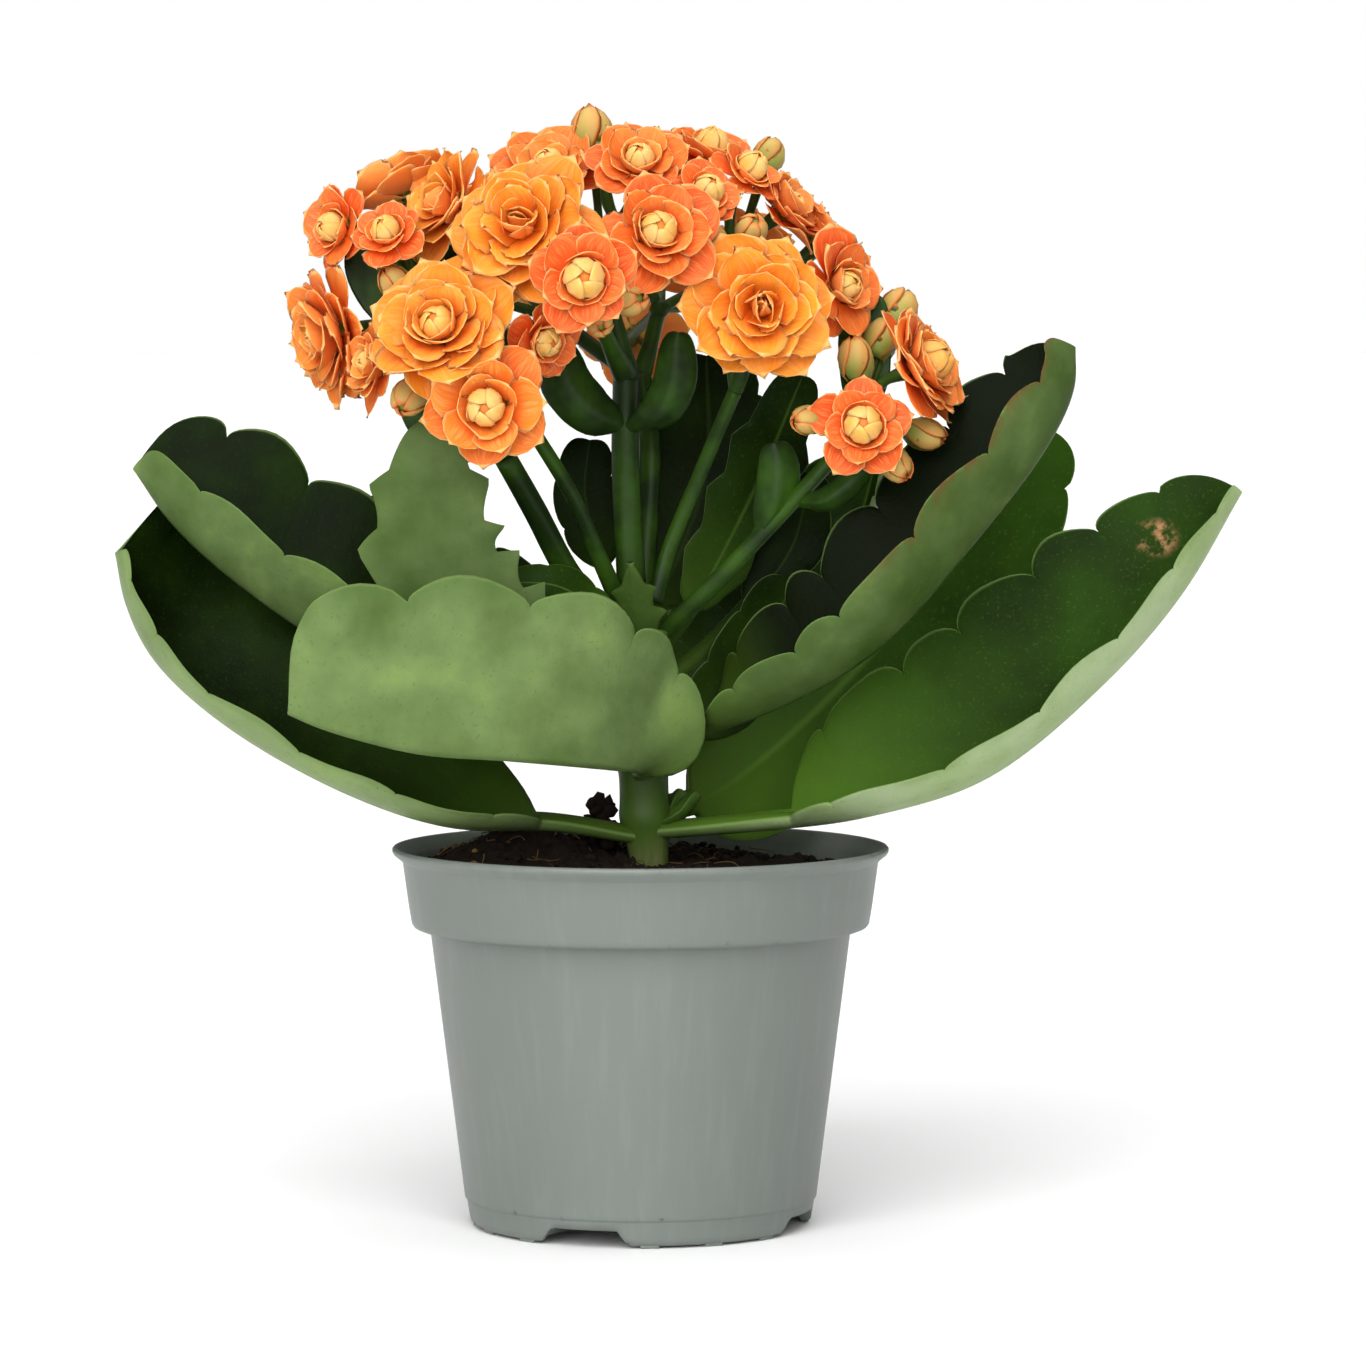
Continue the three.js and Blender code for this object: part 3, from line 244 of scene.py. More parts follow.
class Nodes:
    """Builds one material's tree. Inputs are numbers, colours, #rrggbb codes or another node's output."""

    def __init__(self, name):
        self.material = bpy.data.materials.new(name)
        self.material.use_nodes = True
        self.tree = self.material.node_tree
        self.tree.nodes.clear()
        self.end = self.tree.nodes.new("ShaderNodeOutputMaterial")

    def add(self, kind, inputs=None, output=0, **settings):
        node = self.tree.nodes.new(kind)
        for key, value in settings.items():
            setattr(node, key, value)
        for key, value in (inputs or {}).items():
            socket = node.inputs[key]
            if isinstance(value, bpy.types.NodeSocket):
                self.tree.links.new(value, socket)
                continue
            value = linear(value) if isinstance(value, str) else value
            socket.default_value = (*value[:3], 1.0) if socket.type == "RGBA" else value
        return node.outputs[output]

    def marks(self, *names):
        return [self.add("ShaderNodeAttribute", attribute_name=name, output="Fac") for name in names]

    def place(self):
        return self.add("ShaderNodeTexCoord", output="Object")

    def height(self):
        return self.add("ShaderNodeSeparateXYZ", {"Vector": self.place()}, output="Z")

    def grain(self, scale, detail=3.0, stretch=None, rough=0.55):
        """Cloudy noise from 0 to 1; scale is in features for each metre."""
        spot = self.place()
        if stretch:
            spot = self.add("ShaderNodeMapping", {"Vector": spot, "Scale": stretch})
        return self.add("ShaderNodeTexNoise", {"Vector": spot, "Scale": scale, "Detail": detail,
                                               "Roughness": rough}, output="Fac")

    def sum(self, kind, a, b=0.0, c=0.0):
        return self.add("ShaderNodeMath", {0: a, 1: b, 2: c}, operation=kind)

    def times(self, a, b):
        return self.sum("MULTIPLY", a, b)

    def ramp(self, value, low, high, to_low=0.0, to_high=1.0):
        return self.add("ShaderNodeMapRange", {"Value": value, "From Min": low, "From Max": high,
                                               "To Min": to_low, "To Max": to_high},
                        interpolation_type="SMOOTHSTEP")

    def blend(self, share, a, b):
        return self.add("ShaderNodeMix", {0: share, 6: a, 7: b}, 2, data_type="RGBA")

    def coats(self, colour, *coats):
        """Lays tints over a colour. A coat is a value, its range, its strength at both ends and a tint."""
        for *ramp, tint in coats:
            colour = self.blend(self.ramp(*ramp), colour, tint)
        return colour

    def bump(self, height, strength, distance):
        return self.add("ShaderNodeBump", {"Height": height, "Strength": strength, "Distance": distance})

    def surface(self, **inputs):
        named = {key.replace("_", " "): value for key, value in inputs.items()}
        shader = self.add("ShaderNodeBsdfPrincipled", named, output="BSDF")
        self.tree.links.new(shader, self.end.inputs["Surface"])
        return self.material


# Settings that a user would change

COLOUR = {"subtype": "COLOR", "min": 0, "max": 1}


class KalanchoePotSettings(bpy.types.PropertyGroup):
    colour: FloatVectorProperty(
        name="Pot colour", description="Colour of the moulded plastic", default=linear("#666c66"), **COLOUR)
    roughness: FloatProperty(
        name="Roughness", description="How dull the plastic is", subtype="FACTOR", default=0.42, min=0,
        max=1)
    steps: IntProperty(
        name="Steps round", description="Flat steps round the pot", default=240, min=48, max=480)


class KalanchoeSoilSettings(bpy.types.PropertyGroup):
    colour: FloatVectorProperty(
        name="Soil colour", description="Colour of the damp peat", default=linear("#150e09"), **COLOUR)
    crumbs: IntProperty(
        name="Crumbs", description="Loose crumbs on the soil", default=420, min=0, max=2000)
    fibres: IntProperty(
        name="Fibres", description="Root fibres on the soil", default=70, min=0, max=400)


class KalanchoeLeafSettings(bpy.types.PropertyGroup):
    upper: FloatVectorProperty(
        name="Upper side", description="Green of a leaf's upper side", default=linear("#2a480c"), **COLOUR)
    under: FloatVectorProperty(
        name="Under side", description="Green of a leaf's under side", default=linear("#879d66"), **COLOUR)
    stalk: FloatVectorProperty(
        name="Stalk", description="Green of stalks and midribs", default=linear("#3a5018"), **COLOUR)
    margin_wave: FloatProperty(
        name="Margin wave", description="How far a leaf's margin waves up and down, in millimetres",
        default=0.6, min=0, max=3)


class KalanchoeBloomSettings(bpy.types.PropertyGroup):
    ripe: FloatVectorProperty(
        name="Ripe petals", description="Colour of fully open blooms", default=linear("#f0961a"), **COLOUR)
    young: FloatVectorProperty(
        name="Young petals", description="Colour of younger blooms", default=linear("#e25520"), **COLOUR)
    heart: FloatVectorProperty(
        name="Hearts", description="Colour of closed hearts", default=linear("#e3b870"), **COLOUR)
    back: FloatVectorProperty(
        name="Petal backs", description="Colour of petals' under sides", default=linear("#e88e42"), **COLOUR)
    petal_thickness: FloatProperty(
        name="Petal thickness", description="Thickness in the middle of a petal, in millimetres",
        default=0.5, min=0.1, max=1.5)


class KalanchoeStageSettings(bpy.types.PropertyGroup):
    floor: FloatVectorProperty(
        name="Floor colour", description="Colour of the plain floor", default=(0.93, 0.93, 0.93), **COLOUR)
    room: FloatProperty(
        name="Room light", description="Strength of the light from all round", default=0.15, min=0, max=3)
    distance: FloatProperty(
        name="Camera distance", description="How far the camera stands in front of the pot",
        default=1.2, min=0.4, max=5, unit="LENGTH")
    lens: FloatProperty(
        name="Lens", description="Focal length of the camera", default=149.7, min=35, max=300, unit="CAMERA")


# The pot

POT_HEIGHT = 80.5
RIM_RADIUS = 52.6
WALL = 1.0
BAND_TOP_RADIUS = 50.4
BAND_LOW_RADIUS = 48.6
BAND_LOW_Z = 64.2
WALL_TOP_RADIUS = 44.8
RIDGE_RADIUS = 37.4
RIDGE_Z = 6.0
BASE_RADIUS = 36.4
FLOOR_Z = 2.8
FOOT_LIP = 0.5
FOOT_RING = 5.5
CENTRE_FOOT_RADIUS = 7.0
NOTCH_WIDTH = 17.0
NOTCH_HEIGHT = 3.8
NOTCH_SLANT = 1.2
FIRST_NOTCH = -109.0
NOTCHES = 4
FOOT_STEPS = 16
NUB_SIZE = (4.0, 1.6, 1.0)
NUB_BEVEL = 0.25
WALL_SHARES = (0.1, 0.25, 0.4, 0.55, 0.7, 0.85, 0.97)
BAND_SHARES = (0.3, 0.65)
RIM_DIRT = (0.0788, 0.0803)
LINE_DIRT = ((RIDGE_Z, 0.0016), (BAND_LOW_Z, 0.0012))


def pot_profile():
    """Outline of the pot's section, as radius and height, from the centre of its foot."""
    foot, low, ridge, wall = CENTRE_FOOT_RADIUS, BASE_RADIUS, RIDGE_RADIUS, WALL_TOP_RADIUS
    band, top, rim = BAND_LOW_RADIUS, BAND_TOP_RADIUS, RIM_RADIUS
    floor, lip, bead, step, high = FLOOR_Z, FOOT_LIP, RIDGE_Z, BAND_LOW_Z, POT_HEIGHT
    return [
        (0, 0), (foot - 0.3, 0), (foot, 0.2), (foot + 0.8, floor - 1.3), (foot + 1.2, floor - 1.2),
        (20, floor - 1.2), (low - 3.1, floor - 1.2), (low - 2.7, floor - 1.5), (low - 2.5, lip + 0.2),
        (low - 2.2, lip), (low - 1.1, lip), (low - 0.6, lip + 0.3), (low - 0.15, 1.3), (low, 2.2),
        (low + 0.25, 3.6), (ridge - 0.45, bead - 0.5), (ridge - 0.4, bead - 0.2),
        (ridge - 0.08, bead - 0.05), (ridge, bead + 0.15), (ridge + 0.1, 7.0),
        *[(mix(ridge, wall, s), mix(bead + 0.2, step + 0.3, s)) for s in WALL_SHARES],
        (wall + 0.2, step - 0.5), (wall + 0.7, step - 0.75), (band - 1.1, step - 0.75),
        (band - 0.5, step - 0.5), (band - 0.1, step + 0.1), (band + 0.05, step + 0.9),
        *[(mix(band, top, s), mix(step, high - 3.2, s)) for s in BAND_SHARES],
        (top, high - 3.3), (top + 0.3, high - 2.8), (rim - 0.25, high - 1.5), (rim, high - 1.0),
        (rim, high - 0.45), (rim - 0.3, high - 0.1), (rim - 0.7, high), (rim - 1.2, high - 0.3),
        (top - WALL + 0.2, high - 2.6), (top - WALL, high - 3.2),
        (mix(band, top, 0.5) - WALL, mix(step, high, 0.5)), (band - WALL, step + 1.6),
        (wall - WALL, step + 1.0), (low - WALL, floor), (20, floor), (0, floor),
    ]


def notch_lift(x, y, z):
    """Height to which the foot is cut away at a place on it, inside a drain notch."""
    for i in range(NOTCHES):
        angle = (FIRST_NOTCH + i * 360 / NOTCHES) * DEG
        out = x * math.cos(angle) + y * math.sin(angle)
        aside = abs(-x * math.sin(angle) + y * math.cos(angle))
        if out > BASE_RADIUS - FOOT_RING:
            inside = (NOTCH_WIDTH / 2 + NOTCH_SLANT - aside) / (2 * NOTCH_SLANT)
            return max(z, mix(FOOT_LIP, NOTCH_HEIGHT, clamp01(inside)))
    return z


def pot_finish(look):
    nodes = Nodes("grey green moulded plastic")
    cloud, speck = nodes.grain(14.0, 2.0), nodes.grain(1500.0, 2.0)
    streak = nodes.grain(60.0, 4.0, stretch=(6.0, 6.0, 0.12))
    colour = nodes.coats(look.colour, (cloud, 0.3, 0.7, 0.0, 0.35, "#606862"),
                         (streak, 0.45, 0.75, 0.0, 0.22, "#78817b"))
    height = nodes.height()
    lines = nodes.ramp(height, *RIM_DIRT)
    for level, reach in LINE_DIRT:
        away = nodes.sum("ABSOLUTE", nodes.sum("SUBTRACT", height, level * MM))
        lines = nodes.sum("MAXIMUM", lines, nodes.ramp(away, 0.0, reach, 1.0, 0.0))
    dirt = nodes.times(nodes.ramp(nodes.grain(420.0, 4.0, rough=0.7), 0.6, 0.72), lines)
    colour = nodes.blend(nodes.times(dirt, 0.75), colour, "#3b2f27")
    colour = nodes.coats(colour, (speck, 0.66, 0.8, 0.0, 0.12, "#8f9993"))
    rough = nodes.ramp(cloud, 0.2, 0.8, look.roughness - 0.05, look.roughness + 0.07)
    return nodes.surface(Base_Color=colour, Roughness=rough, Normal=nodes.bump(speck, 0.06, 0.0002))


class KALANCHOE_OT_pot(bpy.types.Operator):
    """Turn the nursery pot with its rim, band, ridge, drain notches and foot nubs"""
    bl_idname = "kalanchoe.pot"
    bl_label = "Pot"

    def execute(self, context):
        look = context.scene.kalanchoe_pot
        skin = Skin()
        bm = skin.bm
        verts = [bm.verts.new((radius, 0, z)) for radius, z in pot_profile()]
        edges = [bm.edges.new(pair) for pair in zip(verts, verts[1:])]
        bmesh.ops.spin(bm, geom=verts + edges, cent=(0, 0, 0), axis=UP, dvec=(0, 0, 0),
                       angle=ROUND, steps=look.steps, use_merge=True)
        bmesh.ops.remove_doubles(bm, verts=bm.verts, dist=WELD)
        for vert in bm.verts:
            if vert.co.z < NOTCH_HEIGHT:
                vert.co.z = notch_lift(*vert.co)
        for i in range(FOOT_STEPS):
            if i % (FOOT_STEPS // NOTCHES) == 0:
                continue
            angle = (FIRST_NOTCH + i * 360 / FOOT_STEPS) * DEG
            place = (Matrix.Rotation(angle - math.pi / 2, 4, "Z")
                     @ Matrix.Translation((0, BASE_RADIUS - NUB_SIZE[1], NUB_SIZE[2] / 2))
                     @ Matrix.Diagonal((*NUB_SIZE, 1.0)))
            nub = bmesh.ops.create_cube(bm, size=1.0, matrix=place)["verts"]
            rims = list(dict.fromkeys(edge for vert in nub for edge in vert.link_edges))
            bmesh.ops.bevel(bm, geom=rims, offset=NUB_BEVEL, offset_type="OFFSET", affect="EDGES",
                            segments=2, profile=0.5, material=-1)
        skin.piece("pot", "pot", pot_finish(look))
        return {"FINISHED"}


# The soil

SOIL_LEVEL = 76.5
SOIL_MOUND = (-24.0, 6.0, 7.0, 15.0)
SOIL_RADIUS = 48.4
SOIL_FOOT = 34.2
SOIL_AROUND = 160
SOIL_RINGS = 60
SIDE_RINGS = 8
CRUMB_REACH = 46.5
BIG_CRUMBS = 0.1
PALE_CRUMBS = 0.02
FIBRE_REACH = 44
FIBRE_RADII = (0.14, 0.12, 0.08)
CLOD = (-8.6, 5.0, 89.9)
CLOD_LUMPS = 46
SOIL_SEED = 11
EDGE_DIP = 1.4
ROUGHNESS, ROUGH_GRAIN = 1.5, 0.28
FIBRE_LIFT = 0.7


def soil_height(x, y):
    mound_x, mound_y, height, spread = SOIL_MOUND
    away = ((x - mound_x) ** 2 + (y - mound_y) ** 2) / spread ** 2
    lumps = 0.7 * math.sin(0.31 * x + 1.3) * math.cos(0.37 * y) + 0.4 * math.sin(0.9 * x + 0.6 * y)
    return SOIL_LEVEL + height * math.exp(-away) - 0.05 * max(0.0, x) + lumps


def soil_body(turn, share):
    """The peat in the pot: a lumpy top, then straight down inside the wall to the pot's floor."""
    ring, top = round(share * SOIL_RINGS), SOIL_RINGS - SIDE_RINGS
    angle = turn * ROUND
    if ring <= top:
        radius = SOIL_RADIUS * (ring / top)
        x, y = level_spot(radius, angle)
        rough = ROUGHNESS * noise.fractal(Vector((x, y, 3)) * ROUGH_GRAIN, 0.7, 2.0, 4)
        z = soil_height(x, y) + rough - EDGE_DIP * smooth((radius - 40) / 8)
        return Vector((x, y, z)), {"pale": 0.0}
    down = (ring - top) / SIDE_RINGS
    radius = mix(SOIL_RADIUS - 2.8, SOIL_FOOT, smooth(down * 1.1)) if ring < SOIL_RINGS else 0.0
    z = mix(BAND_LOW_Z + 3, FLOOR_Z + 0.4, clamp01((down - 0.125) / 0.75))
    return Vector((*level_spot(radius, angle), z)), {"pale": 0.0}


def random_spot(draw, reach):
    radius, angle = reach * math.sqrt(draw.random()), draw.uniform(0, ROUND)
    return level_spot(radius, angle)


def grow_crumb(skin, draw):
    x, y = random_spot(draw, CRUMB_REACH)
    size = draw.uniform(0.4, 1.5) * (1.4 if draw.random() < BIG_CRUMBS else 1.0)
    turn = random_turn(draw)
    pale = 0.85 if draw.random() < PALE_CRUMBS else 0.0
    skin.lump((x, y, soil_height(x, y) + 0.2 * size), (size, size * 0.8, size * 0.6), turn, 1, 0.5,
              {"pale": pale})


def grow_fibre(skin, draw):
    x, y = random_spot(draw, FIBRE_REACH)
    way, length = draw.uniform(0, ROUND), draw.uniform(4, 11)
    bend = draw.uniform(-0.8, 0.8)
    line = []
    for k in range(4):
        spot = way + bend * k
        line.append((x, y, soil_height(x, y) + FIBRE_LIFT + draw.uniform(0, 0.8)))
        x += length / 4 * math.cos(spot)
        y += length / 4 * math.sin(spot)
    if math.hypot(x, y) < FIBRE_REACH + 2:
        tube(skin, line, FIBRE_RADII, 5, 9, {"pale": draw.uniform(0.0, 0.7)})


def grow_clod(skin, draw):
    """Adds the clod that sticks up beside the stem."""
    x, y, top = CLOD
    for k in range(CLOD_LUMPS):
        share = k / (CLOD_LUMPS - 1)
        spread = mix(4.2, 1.8, share)
        spot = (x + draw.uniform(-spread, spread), y + draw.uniform(-spread, spread),
                mix(soil_height(x, y), top, share))
        size = draw.uniform(1.0, 2.1)
        skin.lump(spot, (size, size * 0.85, size * 0.8), random_turn(draw), 1, 0.6, {"pale": 0.0})


def soil_finish(look):
    nodes = Nodes("damp peat")
    crumb, patch = nodes.grain(420.0, 6.0, rough=0.7), nodes.grain(70.0, 3.0)
    colour = nodes.coats(look.colour, (crumb, 0.35, 0.7, "#241810"), (patch, 0.5, 0.75, 0.0, 0.5, "#120c09"))
    colour = nodes.blend(*nodes.marks("pale"), colour, "#8b6b3f")
    return nodes.surface(Base_Color=colour, Roughness=0.92, Specular_IOR_Level=0.15,
                         Normal=nodes.bump(crumb, 0.9, 0.0012))


class KALANCHOE_OT_soil(bpy.types.Operator):
    """Fill the pot with crumbly peat, with fibres and loose crumbs on it"""
    bl_idname = "kalanchoe.soil"
    bl_label = "Soil"

    def execute(self, context):
        look = context.scene.kalanchoe_soil
        draw = random.Random(SOIL_SEED)
        skin = Skin()
        skin.wrap(SOIL_AROUND, SOIL_RINGS, soil_body)
        for _ in range(look.crumbs):
            grow_crumb(skin, draw)
        for _ in range(look.fibres):
            grow_fibre(skin, draw)
        grow_clod(skin, draw)
        skin.piece("soil", "soil", soil_finish(look))
        return {"FINISHED"}


# The stem and the leaves

STEM_FOOT_Z = 56
STEM_TOP_Z = 136.0
STEM_LINE = [(4, -2, STEM_FOOT_Z), (2, -2, 76), (1, -2, 88), (0.5, -2, 102), (-1.5, -1, 120),
             (-2, 0, STEM_TOP_Z)]
STEM_RADII = [3.4, 3.4, 5.2, 5.2, 4.6, 3.8]
STEM_NODES = [(86, 0.5), (99, 0.5), (109, 0.45), (119, 0.4), (130, 0.4)]
NODE_REACH = 2.6
STEM_STEPS = (32, 90)
SHOOT_STEPS = (16, 8)
SHOOT_RIBS = ([(3, -4, 85), (7, -5, 86.5), (10, -5, 89), (12, -5, 92)],
              [(3, -3, 84), (6, -1, 87), (8, 0, 90), (9, 0, 92)])

LEAF_MID_THICK = 2.0
LEAF_EDGE_THICK = 0.9
PETIOLE_HALF_WIDTH = 3.0
PETIOLE_THICK = 4.0
NOTCH_DEPTH = 0.15
TIP_HALF_WIDTH = 1.0
FULL_STALK_WIDTH = 24.0
FOLD_SOFTNESS = 0.07
BASE_ROUND = 0.42
TIP_ROUND = 0.38
EVEN_LEAN = (-0.2, 0.3)
WAVES = 4.3
RIB_WIDTH = 0.07
RIB_GROOVE, RIB_RIDGE = -0.5, 1.3
OPENING = 0.12
FIRST_CUT = 8
MARGIN_ROUND = 1.4
LARGE_LEAF = 16
LARGE_STEPS, SMALL_STEPS = (44, 14, 1), (28, 10, 0.4)
SCAR_LEAF, SCAR_AT, SCAR_SIZE = "leaf_low_right", (0.88, 0.5), (24, 3.6)
BACKWARD = (0, -1, 0.2)


def leaf(name, notches, petiole, across, plus, rib, minus=None, face=UP, lean=EVEN_LEAN, near_lean=None,
         depth=NOTCH_DEPTH, hook=1.0, tip=TIP_ROUND, light=(0.15, 0.3), dry=0.0):
    """One row of the leaf table: how a leaf lies, turns and is cut, and how light its two sides are, partly
    the leaf's own green and partly painted shade on dark inner faces and a painted sheen on the lightest
    faces.
    Plus and minus hold a half's width and its angles at the rib and at the margin."""
    minus, near_lean = minus or plus, near_lean or lean
    return SimpleNamespace(**locals())


# Each row's light pair is partly the leaf's own green and partly painted light: the darkest sides stand in
# for shade in the plant's middle, the lightest under sides for a sheen.
LEAVES = [
    leaf("leaf_low_left", (0.12, 0.3, 0.48, 0.65, 0.8, 0.93), 0.16, (0, 1, 0), (37, 46, 76),
         [(-1, -3, 83), (-18, -8, 86), (-40, -14, 87), (-61, -16, 94), (-86, -15, 108), (-101, -10, 121),
          (-107, -7, 132), (-109.5, -5, 143)], (18, 4, 30), (1, 0, 1), (-0.3, 0.9), (-0.3, 0.0),
         tip=0.32, light=(0.15, 0.85)),
    leaf("leaf_low_right", (0.09, 0.29, 0.47, 0.64, 0.79, 0.92), 0.2, (0, 1, 0), (35, 50, 78),
         [(2, -3, 84), (23, -8, 86), (47, -12, 89), (72, -14, 97), (97, -12, 117), (113, -8, 135),
          (126, -2, 156)], (17, 8, 40), lean=(-0.3, 0.2), tip=0.5, light=(0.42, 1.15)),
    leaf("leaf_front", (0.1, 0.25, 0.46, 0.7), 0.13, (0, 1, 0), (17, 5, 15),
         [(0, -5, 97), (0, -22, 99), (-10, -35, 101), (-27, -43, 103), (-44, -47, 104.5), (-57, -48, 107.5),
          (-65, -48, 110), (-71, -47, 112.5)], (36, 98, 84), (1, 0, 0.3), (-0.7, 0.52), depth=0.13,
         light=(0.3, 0.5)),
    leaf("leaf_back", (0.2, 0.4, 0.6, 0.8), 0.14, (1, 0, 0), (25, 14, 45),
         [(1, 4, 97), (2, 22, 95), (3, 42, 98), (5, 62, 110), (6, 78, 128)], light=(0.4, 0.7)),
    leaf("leaf_mid_left", (0.2, 0.42, 0.63, 0.84), 0.14, (0, 1, 0), (31, 66, 84),
         [(-2, 0, 112), (-20, 0, 112), (-44, -4, 115), (-64, -8, 124), (-81, -8, 135), (-97, -7, 149),
          (-106, -3, 161)], (17, 38, 62), lean=(-0.3, 0.5), near_lean=(-0.3, 0.2), light=(0.1, 0.4)),
    leaf("leaf_tall_right", (0.1, 0.24, 0.34, 0.52, 0.7, 0.86), 0.1, (0, 1, 0), (25, 62, 80),
         [(3, -2, 106), (15, -8, 107), (35, -15, 115), (51, -19, 126), (67, -19, 144), (84, -16, 166),
          (89.5, -13, 177.5), (90, -10, 186)], (18, 30, 62), (-1, 0, 1), (-0.3, 0.4), depth=0.2, tip=0.4,
         light=(-0.15, 0.3), dry=0.9),
    leaf("leaf_wide_right", (0.2, 0.4, 0.58, 0.76, 0.9), 0.08, (0.7, 0.45, -0.5), (22, 8, 20),
         [(4, 2, 88), (14, 12, 90), (30, 22, 101), (54, 29, 125), (74, 33, 150), (86, 36, 169)],
         (26, 8, 20), (0, -1, 0.3), light=(0.52, 0.4)),
    leaf("leaf_back_left", (0.2, 0.4, 0.6, 0.8), 0.14, (0.7, 0.7, 0), (24, 20, 60),
         [(-1, 4, 117), (-12, 20, 113), (-36, 38, 116), (-54, 52, 132), (-62, 58, 150)], light=(0.3, 0.5)),
    leaf("leaf_back_right", (0.2, 0.4, 0.6, 0.8), 0.14, (-0.7, 0.7, 0), (24, 25, 65),
         [(2, 4, 109), (16, 22, 110), (32, 40, 120), (46, 54, 140), (52, 62, 158)], light=(0.3, 0.5)),
    leaf("leaf_toothed_left", (0.2, 0.38, 0.54, 0.69, 0.84), 0.12, (-1, 0, -0.2), (18, 4, 12),
         [(-3, -4, 118), (-14, -15, 119), (-30, -24, 125), (-41, -28, 140), (-43, -28, 156),
          (-43, -26, 171)], (17, 4, 14), (0, 1, 0.3), depth=0.26, hook=1.9, tip=0.56, light=(0.3, 0.42)),
    leaf("leaf_hidden_left", (0.3, 0.6, 0.85), 0.3, (0.3, 0.3, 0.9), (13, 8, 14),
         [(-4, 2, 120), (-22, 12, 129), (-44, 14, 137), (-64, 16, 148)], face=BACKWARD),
    leaf("leaf_short_left", (0.35, 0.7), 0.2, (0.3, 0.3, 1), (5, 4, 10),
         [(-2, -4, 124), (-8, -12, 130), (-17, -16, 136), (-27, -17, 137)], face=BACKWARD, light=(0.4, 0.4)),
    leaf("leaf_short_front", (0.25, 0.5, 0.75), 0.2, (1, 0, 0), (7, 4, 12),
         [(1, -4, 121), (0, -11, 125), (-2, -15, 141)], face=(0, 1, 0.4), depth=0.5, hook=1.8, tip=0.9,
         light=(0.1, 0.12)),
    leaf("leaf_behind_left", (0.35, 0.7), 0.3, (1, 0, 0), (7, 5, 12),
         [(-4, 1, 132), (-9, 12, 142), (-12, 16, 155), (-11, 17, 166)], face=BACKWARD),
    leaf("leaf_behind", (0.2, 0.4, 0.6, 0.8), 0.2, (1, 0, 0), (15, 6, 14),
         [(-1, 4, 121), (6, 16, 136), (14, 21, 160), (14, 23, 184)], (13, 6, 14), BACKWARD),
    leaf("leaf_toothed_right", (0.3, 0.52, 0.74), 0.2, (1, 0.2, -0.4), (9, 4, 14),
         [(3, 1, 120), (12, 5, 133), (24, 3, 156), (34, -2, 180)], (10, 4, 14), (0, -1, 0.3), depth=0.24,
         hook=1.5, light=(0.25, 0.3)),
    leaf("leaf_oval_right", (0.4, 0.75), 0.45, (1, 0, 0), (7, 4, 14),
         [(4, 2, 114), (18, 8, 126), (32, 10, 143), (36, 10, 159)], face=BACKWARD),
    leaf("leaf_under_right", (0.35, 0.7), 0.2, (0.6, 0.2, -0.6), (10, 4, 14),
         [(4, 1, 98), (13, 4, 107), (24, 5, 120), (32, 5, 136)], face=(0, -1, 0.3), light=(0.2, 0.3)),
]


def stalk_share(row):
    return mix(0.45, 1, clamp01(row.plus[0] / FULL_STALK_WIDTH))


def crown(row, blade):
    """How full a lobe is, from 0 in a notch to 1 on its crest. A lobe stands over the very tip."""
    bounds = [0.0, *row.notches, 2 - row.notches[-1]]
    i = min(bisect_right(bounds, blade), len(bounds) - 1)
    share = (blade - bounds[i - 1]) / (bounds[i] - bounds[i - 1])
    if row.hook > 1:
        return 1 - abs(2 * share ** row.hook - 1)
    return math.sin(math.pi * share) ** 0.5


def half_width(row, blade, width):
    widest = BASE_ROUND / (BASE_ROUND + row.tip)
    fullest = widest ** BASE_ROUND * (1 - widest) ** row.tip
    outline = blade ** BASE_ROUND * (1 - blade) ** row.tip / fullest
    narrowest = mix(PETIOLE_HALF_WIDTH * stalk_share(row), TIP_HALF_WIDTH, smooth(blade * 2))
    return max(width * outline, narrowest)


def leaf_point(row, line, t, v, side, wave):
    """The point of a leaf at t along it and v across it, on its upper (1) or under side (-1)."""
    way = line.along(t)
    across = Vector(row.across)
    across = (across - way * across.dot(way)).normalized()
    up = way.cross(across)
    if up.dot(Vector(row.face)) < 0:
        up.negate()
    hand = 1 if v >= 0 else -1
    (width, first, last), lean = (row.plus, row.lean) if v >= 0 else (row.minus, row.near_lean)
    opening = smooth(t / (row.petiole + OPENING))
    start = first * DEG * opening
    turn = (last - first) * DEG * opening + 1e-6
    blade = clamp01((t - row.petiole) / (1 - row.petiole))
    cut = row.depth * (1 - crown(row, blade)) * smooth(blade * FIRST_CUT)
    flat = abs(v) * (1 - cut * abs(v) ** 3)
    soft = (math.sqrt(flat ** 2 + FOLD_SOFTNESS ** 2) - FOLD_SOFTNESS) * (1 + FOLD_SOFTNESS)
    angle = start + turn * flat
    reach = half_width(row, blade, width)
    out = (reach / turn) * (math.sin(angle) - math.sin(start))
    lift = (reach / turn) * (math.cos(start) - math.cos(start + turn * min(1.0, soft)))
    lift += wave * flat ** 2 * math.sin(ROUND * WAVES * blade + hand) * smooth(blade * 3)
    point = line.point(t) + across * (hand * out) + up * lift
    point += way * (reach * flat * mix(*lean, t) * opening)
    tilt = angle * (soft / flat if flat > 1e-6 else 0)
    normal = up * math.cos(tilt) - across * (hand * math.sin(tilt))
    thin = smooth((t - row.petiole * 0.5) / (row.petiole + 0.1))
    flesh = mix(PETIOLE_THICK * stalk_share(row), mix(LEAF_MID_THICK, LEAF_EDGE_THICK, v * v), thin)
    rib = math.exp(-(v / RIB_WIDTH) ** 2) * (1 - 0.8 * t) * thin
    flesh += rib * (RIB_GROOVE if side > 0 else RIB_RIDGE)
    return point + normal * (side * flesh / 2)


